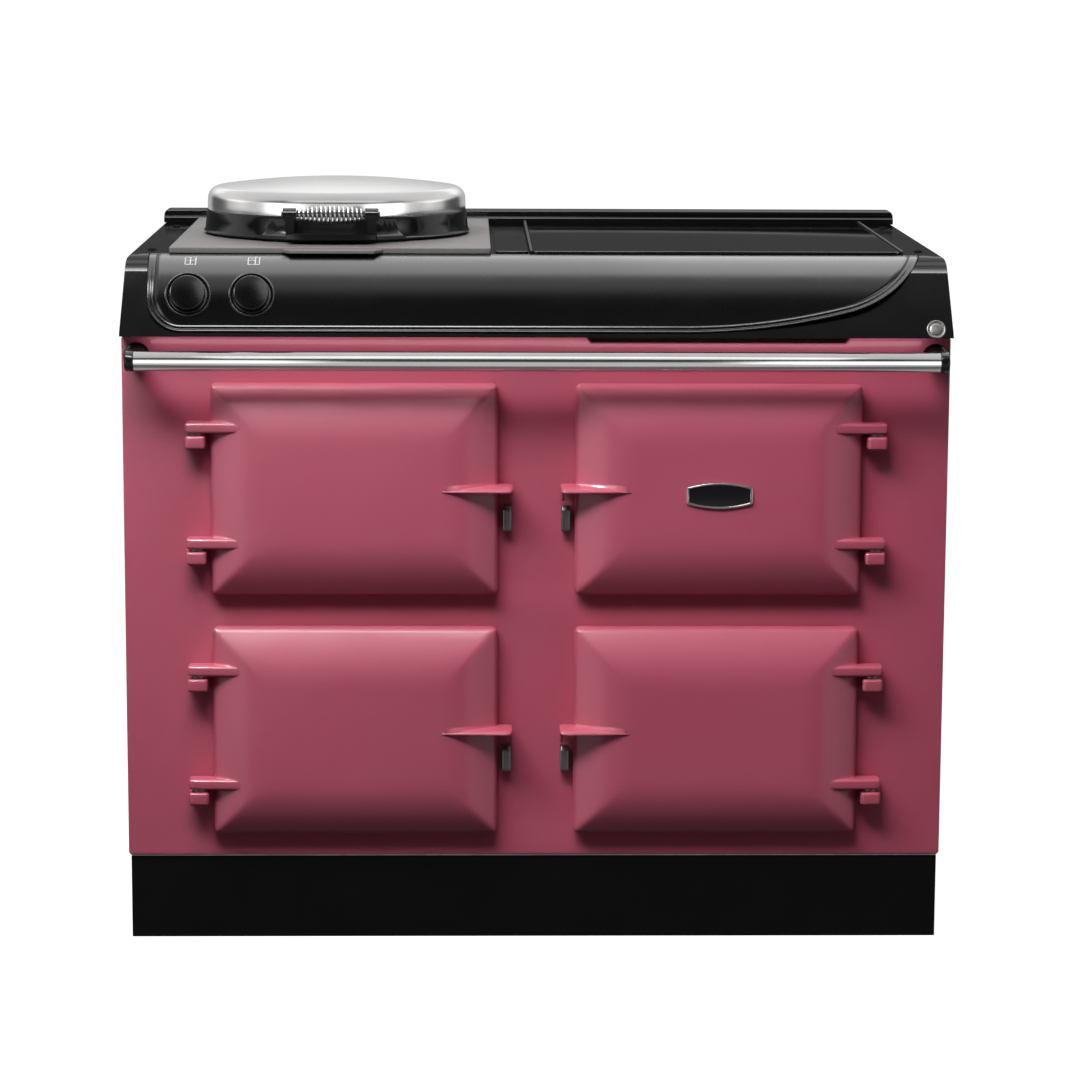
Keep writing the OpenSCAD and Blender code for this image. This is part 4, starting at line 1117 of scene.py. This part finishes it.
def icons():
    """Plain oven pictograms over the knobs: a window in four, and a small pane beside a tall one."""
    segs = {
        "knob_left": [((-7, -9.5), (7, -9.5)), ((-7, 9.5), (7, 9.5)), ((-7, -9.5), (-7, 9.5)), ((7, -9.5), (7, 9.5)),
                      ((0, -9.5), (0, 9.5)), ((-7, 0), (7, 0))],
        "knob_right": [((-7.5, -9.5), (7.5, -9.5)), ((-7.5, 9.5), (7.5, 9.5)), ((-7.5, -9.5), (-7.5, 9.5)),
                       ((7.5, -9.5), (7.5, 9.5)), ((2, -9.5), (2, 9.5)), ((-7.5, 0), (2, 0)), ((-5, 4.6), (-0.6, 4.6))],
    }
    verts, faces = [], []
    hw = 0.58
    for name, lines in segs.items():
        cx = KNOBS[name] + 1.2
        for (x0, s0), (x1, s1) in lines:
            n = 8
            L = math.hypot(x1 - x0, s1 - s0)
            tx, ts = (x1 - x0) / L, (s1 - s0) / L
            px, ps = -ts, tx
            base = len(verts)
            for k in range(n + 1):
                f = -hw + (L + 2 * hw) * k / n
                for side in (-1, 1):
                    for lift in (-0.2, 0.18):
                        X = cx + x0 + tx * f + px * side * hw
                        S = s0 + ts * f + ps * side * hw
                        # S is the distance along the curve, up from the middle of the mark
                        u = math.radians(68.0) + S / 85.0
                        verts.append((X, FCY - (FA + lift) * math.cos(u), FCZ + (FBB + lift) * math.sin(u)))
            for k in range(n):
                a = base + 4 * k
                b = a + 4
                faces += [(a, b, b + 1, a + 1), (a + 1, b + 1, b + 3, a + 3), (a + 3, b + 3, b + 2, a + 2), (a + 2, b + 2, b, a)]
            faces += [(base, base + 1, base + 3, base + 2),
                      (base + 4 * n, base + 4 * n + 2, base + 4 * n + 3, base + 4 * n + 1)]
    ob = shell("oven_pictograms", verts, faces, M["icon"], 30)
    put(ob, "cooker_body", "trim_anodised")


icons()


# ------------------------------------------------------- top casting and tops
refined("top_casting", M["black"], "black_enamel", 2.2, 3, 33)
refined("back_upstand", M["black"], "black_enamel", 1.0, 2, 30)


def roundel():
    d = (0, -math.cos(math.radians(25.7)), math.sin(math.radians(25.7)))
    place = at(526, -288.7, 833, d)
    prof = [(0, -1.8), (12.8, -1.8), (13.0, -1.2), (13.0, 0.9), (12.6, 1.7), (11.8, 2.15), (10.9, 2.1), (10.2, 1.5),
            (9.7, 0.9), (8.6, 0.8), (7.6, 1.05), (7.0, 1.35), (6.2, 1.45), (0, 1.5)]
    ob = lathe("roundel_cap", prof, M["roundel"], place, 64, 40)
    put(ob, "cooker_body", "polished_steel", "corner_roundel")


roundel()


def top_plates():
    hole = arc2(LID, 172, 0, 360, 128)[:-1]
    outline = rounded([(-489, -217), (-343, -217), (-329, -235), (-214, -235), (-200, -217), (-61, -217), (-61, 324),
                       (-489, 324)], [4, 3, 3, 3, 3, 4, 4, 4], 5)
    body = rrect(-489, -217, -61, 324, 4, 5)
    a = plate("sur", [body, hole], 925, 933, 1.4, M["surround"], "Z", 4, 45)
    tongue = rounded([(-341, -214), (-327, -235), (-216, -235), (-202, -214)], [1, 3, 3, 1], 5)
    b = plate("tongue", [tongue], 926, 931, 1.2, M["surround"], "Z", 4, 45)
    put(join("surround_plate", [a, b]), "cooker_body", "surround_enamel", "hotplate_surround")
    ob = plate("infill_plate", [rrect(-55, -206, -11, 205, 9, 8)], 925, 928, 1.0, M["black"], "Z", 3, 45)
    put(ob, "cooker_body", "black_enamel", "centre_infill")
    ob = plate("hob_glass_plate", [rrect(-4.5, -215, 485.5, 190, 6, 8)], 925, 929, 1.0, M["glass"], "Z", 4, 45)
    put(ob, "cooker_body", "hob_ceramic_glass", "hob_glass")
    refined("hob_side_trims", M["trim"], "trim_anodised", 0.8, 2, 30)
    scr = []
    for x in (-516, 516):
        for y in (-161, 246):
            scr.append(lathe("ts", [(0, 927.5), (1.8, 927.45), (3.6, 927.1), (5.2, 926.4), (6.2, 925.5), (6.5, 924.9), (3, 924.9), (3, 912), (0, 912)],
                             M["screw"], at(x, y, 0), 32, 50))
    put(join("top_screw_heads", scr), "cooker_body", "black_enamel", "top_screws")


top_plates()


def hotplate():
    p = [(0, 900), (159.4, 900), (160, 900.6), (160, 925), (169.6, 925), (170, 925.4), (170, 929.6), (169.6, 930), (160.6, 930),
         (160, 930.6), (160, 935.6), (159.6, 936.4), (158.8, 937.1), (157.6, 937.5)]
    for k in range(1, 20):
        p.append((157.6 * (1 - k / 19), 937.5))
    ob = lathe("hotplate_turned", p, M["iron"], at(LID[0], LID[1], 0), 160, 40)
    put(ob, "cooker_body", "raw_cast_iron", "hotplate")


hotplate()


# --------------------------------------------------------------------- lid
def lid():
    place = at(LID[0], LID[1], 0)
    outer = []
    for k in range(0, 33):
        r = 165.5 * k / 32
        outer.append((r, -171.7 + math.sqrt(1182 ** 2 - r * r)))
    outer += arc2((163, 981.9), 17, 80, 0, 20)
    outer += [(180.2, 978), (180.4, 973), (180.3, 968.2), (180.1, 967.2)]
    inner = [(178.0, 967.2), (177.6, 981.9)] + arc2((163, 981.9), 14.5, 4, 80, 10)
    for k in range(8, -1, -1):
        r = 165.0 * k / 8
        inner.append((r, -174.2 + math.sqrt(1182 ** 2 - r * r)))
    ob = lathe("lid_dome_spun", outer + inner, M["lid"], place, 192, 40)
    put(ob, "lid_body", "lid_steel", "lid_dome")
    refined("lid_ring", M["black"], "black_enamel", 0.9, 3, 40)
    refined("lid_handle_bracket", M["bracket"], "black_enamel", 2.4, 4, 38)
    liner = [(0, 941.2), (167.4, 941.2), (170.4, 942.6), (171.8, 944.6), (171.8, 965.8), (169.8, 965.8), (169.8, 945.6),
             (168.4, 944), (166.4, 943.2), (0, 943.2)]
    ob = lathe("lid_liner_spun", liner, M["alu"], place, 128, 40)
    put(ob, "lid_body", "aluminium_sheet", "lid_liner")


lid()


def coil():
    y, z = LID[1] - 229, 974.5
    turns, length, wr = 15, 92.0, 1.4
    pts, rad = [], []
    n = turns * 28
    for i in range(n + 1):
        t = i / n
        a = 2 * math.pi * turns * t
        r = 6.3 + 4.0 * math.sin(math.pi * t)
        pts.append((LID[0] + (t - 0.5) * (length - 2 * wr), y + r * math.cos(a), z + r * math.sin(a)))
        rad.append(wr)
    rad[0] = rad[-1] = wr * 0.55
    rad[1] = rad[-2] = wr * 0.9
    ob = tube("coil_wire", pts, rad, M["coil"], 12, 70)
    put(ob, "lid_body", "polished_steel", "lid_coil_handle")
    rod = [(0, -66), (3.4, -66), (3.98, -65.4), (3.98, 65.4), (3.4, 66), (0, 66)]
    ob = lathe("handle_rod_turned", rod, M["dark_steel"], at(LID[0], y, z, "X"), 32)
    put(ob, "lid_body", "polished_steel", "lid_handle_rod")


coil()
refined("lid_hinge_brackets", M["black"], "black_enamel", 1.2, 3, 35)
paint("lid_hinge_pin", M["bright"])


# -------------------------------------------------------------------- rail
def rail():
    y, z = PANEL_Y - 66, 794.5
    prof = [(11.2, -526.6), (12.6, -526.6), (13.0, -526.2), (13.0, 526.2), (12.6, 526.6), (11.2, 526.6)]
    ob = lathe("towel_rail_tube", prof, M["steel"], at(0, y, z, "X"), 128, 50, closed=True)
    put(ob, "cooker_body", "polished_steel", "towel_rail")
    parts = []
    for s in (-1, 1):
        # end cap that holds the rail, an elbow and a flange on the panel
        d = "X" if s > 0 else "-X"
        cap = [(0, 538.3), (10.8, 538.3), (12.6, 537.9), (13.6, 536.9), (14.0, 535.4), (14.0, 528.0), (13.8, 527.2),
               (13.2, 526.7), (11.0, 526.7), (11.0, 527.4), (0, 527.4)]
        parts.append(lathe("cap", cap, M["bracket"], at(0, y, z, d), 64, 50))
        fl = [(0, 0.2), (17.4, 0.2), (17.5, -1.6), (17.2, -3.2), (16.2, -4.6), (14.8, -5.8), (13.6, -7.6), (13.0, -10.0), (0, -10.0)]
        parts.append(lathe("fl", fl, M["bracket"], at(s * 528.5, PANEL_Y, z, "Y"), 64, 60))
        # the arm bends in a little and ends in a saddle behind the rail
        path, rad = [], []
        for k in range(0, 29):
            t = k / 28
            path.append((s * (528.0 - 2.4 * math.sin(math.pi * t / 2) ** 2), PANEL_Y - 6 - (66 - 6 - 4.0) * t, z))
            rad.append(12.95 - 0.35 * math.sin(math.pi * min(1, t / 0.8)) if t < 0.8 else 12.95 - 1.9 * ((t - 0.8) / 0.2) ** 1.6)
        parts.append(tube("arm", path, rad, M["bracket"], 48, 60))
    put(join("rail_bracket_castings", parts), "cooker_body", "black_enamel", "rail_brackets")


rail()


# ------------------------------------------------------------------- badge
def badge():
    def bow(w, h, e, n=20):
        top = [(u * w, h - (h - e) * u * u) for u in np.linspace(1, -1, n + 1)]
        bot = [(u * w, -h + (h - e) * u * u) for u in np.linspace(-1, 1, n + 1)]
        return top + bot

    cx, cz, y1 = DOOR_CX, 614.0, PANEL_Y - 41
    outer = rounded([(cx + a, cz + b) for a, b in bow(43.5, 17.2, 11)], [2.2 if i in (0, 20, 21, 41) else 0 for i in range(42)], 4)
    inner = [(cx + a, cz + b) for a, b in bow(40.6, 14.6, 8.8)]
    rim = plate("badge_rim_ring", [outer, inner], y1 - 3.0, y1 + 0.4, 1.0, M["badge_rim"], "Y", 4, 60)
    put(rim, "door_top_right_body", "badge_metal")
    field = plate("badge_field_plate", [[(cx + a, cz + b) for a, b in bow(41.6, 15.6, 9.6)]], y1 - 1.9, y1 + 0.4, 0.4,
                  M["badge_field"], "Y", 3, 50)
    put(field, "door_top_right_body", "badge_metal", "badge_plate")


badge()

# --------------------------------------------------- plinth, sides, back, feet
refined("plinth", M["plinth"], "plinth_paint", 0.8, 2, 30)
refined("base_tray", M["galv"], "galvanised_steel", 0.5, 2, 30)
refined("side_panel_left", M["pink"], "pink_enamel", 0.8, 2, 30)
refined("side_panel_right", M["pink"], "pink_enamel", 0.8, 2, 30)
refined("back_panel", M["galv"], "galvanised_steel", 0.5, 2, 30)
refined("terminal_box", M["switch"], "switch_plastic", 1.2, 3, 30)
refined("cable_gland", M["switch"], "switch_plastic", 0.6, 2, 30)
refined("levelling_feet", M["dark_steel"], "dark_steel", 0.8, 2, 40)
for n in ("oven_liner_top_left", "oven_liner_top_right", "oven_liner_bottom_left", "oven_liner_bottom_right"):
    refined(n, M["oven"], "black_enamel", 1.2, 3, 35)
for n in ("door_liner_top_left", "door_liner_top_right", "door_liner_bottom_left", "door_liner_bottom_right"):
    refined(n, M["alu"], "aluminium_sheet", 1.6, 3, 35)

paint("oven_shelves", M["bright"])
paint("oven_elements", M["dark_steel"])
paint("insulation_jacket", M["wool"])
paint("door_seal_ropes", M["rope"])
paint("hotplate_element", M["dark_steel"])
paint("hotplate_well", M["bright"])
paint("induction_coils", M["copper"])
paint("hob_tray", M["alu"])
paint("rotary_switches", M["switch"])
paint("back_panel_screws", M["bright"])


# ------------------------------------------------------- floor, light, world
def stage():
    me = bpy.data.meshes.new("floor")
    bm = bmesh.new()
    bmesh.ops.create_grid(bm, x_segments=2, y_segments=2, size=160.0)
    bm.to_mesh(me)
    bm.free()
    ob = bpy.data.objects.new("floor", me)
    ob.location = (0, 0, -0.0004)
    scene.collection.objects.link(ob)
    m = Mat("floor_pale")
    col = m.ramp(m.noise(1.1, 3.0, 0.5), [(0.3, (0.44, 0.44, 0.44)), (0.7, (0.46, 0.46, 0.46))])
    m.link(col, m.b.inputs["Base Color"])
    m.set(Roughness=0.9, Specular_IOR_Level=0.0, Emission_Color=(1.0, 1.0, 1.0), Emission_Strength=0.97)
    ob.data.materials.append(m.m)
    ob.visible_diffuse = False
    ob.visible_glossy = False


stage()


def world():
    w = bpy.data.worlds.new("studio")
    scene.world = w
    w.use_nodes = True
    nt = w.node_tree
    nt.nodes.clear()
    out = nt.nodes.new("ShaderNodeOutputWorld")
    tc = nt.nodes.new("ShaderNodeTexCoord")
    sep = nt.nodes.new("ShaderNodeSeparateXYZ")
    nt.links.new(tc.outputs["Generated"], sep.inputs[0])

    def mth(op, a, b=None, c=None, clamp=False):
        n = nt.nodes.new("ShaderNodeMath")
        n.operation = op
        n.use_clamp = clamp
        for s, v in zip(n.inputs, (a, b, c)):
            if v is None:
                continue
            if isinstance(v, bpy.types.NodeSocket):
                nt.links.new(v, s)
            else:
                s.default_value = v
        return n.outputs[0]

    # angle about the part's length: 0.5 is the front horizon, 0.75 the zenith,
    # 1 the back horizon, 0.25 straight down
    phi = mth("DIVIDE", mth("ARCTAN2", sep.outputs[2], mth("MULTIPLY", sep.outputs[1], -1.0)), 2 * math.pi)
    phi = mth("ADD", phi, 0.5)

    def ring(stops, strength):
        ramp = nt.nodes.new("ShaderNodeValToRGB")
        e = ramp.color_ramp.elements
        while len(e) < len(stops):
            e.new(0.5)
        for s, (deg, v) in zip(e, stops):
            s.position = deg / 360.0 + 0.5
            s.color = (v, v, v, 1)
        nt.links.new(phi, ramp.inputs[0])
        return ramp.outputs[0]

    # what shiny surfaces see: pale floor, dark room in front, bright ceiling, dark wall behind
    gloss = ring([(-180, 0.06), (-140, 0.25), (-100, 0.42), (-92, 0.16), (-58, 0.14), (-50, 0.30), (-17, 0.32), (-11, 0.10),
                  (3, 0.06), (44, 0.05), (54, 0.58), (66, 0.62), (100, 0.72), (140, 0.80), (160, 0.80), (167, 0.25),
                  (173, 0.07), (180, 0.06)], 1.0)
    soft = ring([(-180, 0.05), (-90, 0.060), (-40, 0.050), (-18, 0.012), (-2, 0.012), (20, 0.020), (42, 0.06), (60, 0.26), (100, 0.26), (165, 0.09), (180, 0.05)], 1.0)
    # tall softboxes to the left and right, low down
    ax_ = mth("ABSOLUTE", sep.outputs[0])
    side = mth("MULTIPLY", mth("MULTIPLY", mth("SUBTRACT", ax_, 0.42), 7.0, None, True),
               mth("MULTIPLY", mth("SUBTRACT", 0.93, ax_), 12.0, None, True))
    lowz = mth("MULTIPLY", mth("MULTIPLY", mth("ADD", sep.outputs[2], 0.38), 6.0, None, True),
               mth("MULTIPLY", mth("SUBTRACT", 0.30, sep.outputs[2]), 6.0, None, True))
    front = mth("MULTIPLY", mth("SUBTRACT", -0.02, sep.outputs[1]), 8.0, None, True)
    box = mth("MULTIPLY", mth("MULTIPLY", side, lowz), front)
    gl = nt.nodes.new("ShaderNodeMix")
    gl.data_type = "RGBA"
    gl.blend_type = "MIX"
    nt.links.new(box, gl.inputs[0])
    nt.links.new(gloss, gl.inputs[6])
    gl.inputs[7].default_value = (1.6, 1.6, 1.6, 1)
    sky = nt.nodes.new("ShaderNodeBackground")
    nt.links.new(gl.outputs[2], sky.inputs[0])
    low = nt.nodes.new("ShaderNodeBackground")
    nt.links.new(soft, low.inputs[0])
    glossy_lp = nt.nodes.new("ShaderNodeLightPath")
    mix = nt.nodes.new("ShaderNodeMixShader")
    nt.links.new(glossy_lp.outputs["Is Glossy Ray"], mix.inputs[0])
    nt.links.new(low.outputs[0], mix.inputs[1])
    nt.links.new(sky.outputs[0], mix.inputs[2])
    lp = nt.nodes.new("ShaderNodeLightPath")
    back = nt.nodes.new("ShaderNodeBackground")
    back.inputs[0].default_value = (0.90, 0.90, 0.90, 1)
    mix2 = nt.nodes.new("ShaderNodeMixShader")
    nt.links.new(lp.outputs["Is Camera Ray"], mix2.inputs[0])
    nt.links.new(mix.outputs[0], mix2.inputs[1])
    nt.links.new(back.outputs[0], mix2.inputs[2])
    nt.links.new(mix2.outputs[0], out.inputs[0])


world()


def area(name, loc, target, size, size_y, power, glossy=True, spread=180):
    l = bpy.data.lights.new(name, "AREA")
    l.shape = "RECTANGLE"
    l.size, l.size_y = size, size_y
    l.energy = power
    l.spread = math.radians(spread)
    o = bpy.data.objects.new(name, l)
    scene.collection.objects.link(o)
    o.location = loc
    o.rotation_mode = "QUATERNION"
    o.rotation_quaternion = (Vector(target) - Vector(loc)).to_track_quat("-Z", "Y")
    o.visible_camera = False
    o.visible_glossy = glossy
    return o


def only_for(light, state, *names):
    """Limits a light to, or keeps it off, the named pieces."""
    coll = bpy.data.collections.new(light.name + "_linking")
    for o in scene.objects:
        if o.type == "MESH" and any(o.name.startswith(n) for n in names):
            coll.objects.link(o)
    light.light_linking.receiver_collection = coll
    for c in coll.collection_objects:
        c.light_linking.link_state = state


METALS = ("towel_rail_tube", "lid_dome_spun", "handle_rod_turned")
PINKS = ("front_panel", "door_top_left", "door_top_right", "door_bottom_left", "door_bottom_right",
         "hinge_bracket")
CAPS = ("knob_left_cap", "knob_right_cap")
key = area("key_top_front", (-0.80, -1.66, 2.70), (-0.10, -0.25, 0.75), 2.2, 0.55, 62.0)
only_for(key, "EXCLUDE", "fascia_panel", "top_casting", *CAPS, *METALS)
over = area("key_overhead", (-0.70, -0.82, 2.70), (-0.10, -0.30, 0.75), 2.4, 0.30, 30.0, glossy=False)
only_for(over, "INCLUDE", *PINKS)
area("fill_left", (-2.8, -3.2, 1.6), (0.0, -0.3, 0.5), 1.6, 1.6, 1.0, glossy=False)
area("rail_glow", (0.0, -0.292, 0.811), (0.0, -0.262, 0.816), 1.03, 0.008, 0.085, spread=150)
top = area("ceiling", (0.20, 0.67, 2.10), (0.20, 0.67, 0.0), 2.8, 2.3, 34.0)
top.visible_diffuse = False
only_for(top, "EXCLUDE", "top_casting", *METALS)
top2 = area("ceiling_right", (0.85, 0.67, 2.08), (0.85, 0.67, 0.0), 1.3, 2.3, 5.0)
top2.visible_diffuse = False
only_for(top2, "EXCLUDE", "top_casting", *METALS)
card = area("lid_card", (-0.275, 2.6, 1.30), (-0.275, 0.05, 1.0), 4.0, 2.2, 13.0)
only_for(card, "INCLUDE", "lid_dome_spun")
for name, x, y, wide, watt in (("front", -0.40, -3.0, 5.0, 13.0), ("left", -3.4, -0.6, 4.0, 8.0), ("right", 2.8, -0.6, 4.0, 8.0)):
    o = area("lid_card_" + name, (x, y, 1.25), (-0.275, 0.0, 0.95), wide, 1.1, watt)
    o.visible_diffuse = False
    only_for(o, "INCLUDE", "lid_dome_spun", "handle_rod_turned")
# strips of ceiling that only the black castings mirror: x, y, width, depth, brightness
for name, x, y, wide, deep, bright, who in (
        ("low_left", -1.20, -1.61, 2.2, 0.22, 17.0, "top_casting"), ("low_right", 0.80, -1.61, 1.8, 0.22, 10.5, "top_casting"),
        ("soft_left", -1.20, -1.36, 2.2, 0.28, 9.0, "top_casting"), ("soft_right", 0.80, -1.36, 1.8, 0.28, 5.5, "top_casting"),
        ("fade", -0.30, -1.10, 4.0, 0.24, 2.6, "top_casting"), ("mid", -0.30, -0.78, 4.0, 0.40, 0.7, "top_casting"),
        ("high", -0.30, -0.10, 4.0, 0.60, 1.0, "top_casting"), ("rim", -0.30, -1.36, 4.0, 0.70, 4.5, "fascia_rim")):
    o = area("casting_card_" + name, (x, y, 2.70), (x, y, 0.0), wide, deep, bright * math.pi * wide * deep)
    o.visible_diffuse = False
    only_for(o, "INCLUDE", who)
for name, loc, wide, deep, bright, who in (
        ("upper", (0.0, -2.85, 3.25), 6.0, 1.0, 0.85, METALS[1:]), ("level", (0.0, -2.60, 0.62), 6.0, 0.66, 0.60, METALS[1:]),
        ("floor", (0.0, -1.85, 0.03), 6.0, 1.5, 0.62, METALS[1:]), ("rail_upper", (0.0, -2.30, 3.25), 6.0, 1.9, 0.85, METALS[:1]),
        ("rail_level", (0.0, -2.60, 0.62), 6.0, 0.66, 0.26, METALS[:1]), ("rail_floor", (0.0, -1.85, 0.03), 6.0, 1.5, 0.32, METALS[:1])):
    o = area("metal_card_" + name, loc, (0.0, -0.33, 0.795), wide, deep, bright * math.pi * wide * deep)
    o.visible_diffuse = False
    only_for(o, "INCLUDE", *who)
for name, loc, size, bright in (("window", (-2.0, -0.60, 1.60), 0.45, 30.0), ("soft", (1.0, -1.9, 2.60), 2.0, 2.4)):
    o = area("knob_card_" + name, loc, (-0.42, -0.28, 0.87), size, size, bright * math.pi * size * size)
    o.visible_diffuse = False
    only_for(o, "INCLUDE", "knob_bezel_rings", *CAPS)
o = area("ring_card", (-0.3, -3.0, 2.15), (-0.275, -0.13, 0.95), 5.0, 1.5, 40.0)
o.visible_diffuse = False
only_for(o, "INCLUDE", "lid_ring")
for side in (-1, 1):
    o = area("side_fill_" + ("left" if side < 0 else "right"), (2.6 * side, -0.5, 1.9), (0.55 * side, 0.0, 0.45), 1.6, 1.6, 32.0, glossy=False)
    only_for(o, "INCLUDE", "side_panel")
haze = area("panel_haze", (-0.95, -1.02, 1.72), (-0.25, -0.3, 0.6), 0.7, 0.15, 78.0)
haze.visible_diffuse = False
only_for(haze, "INCLUDE", *PINKS)
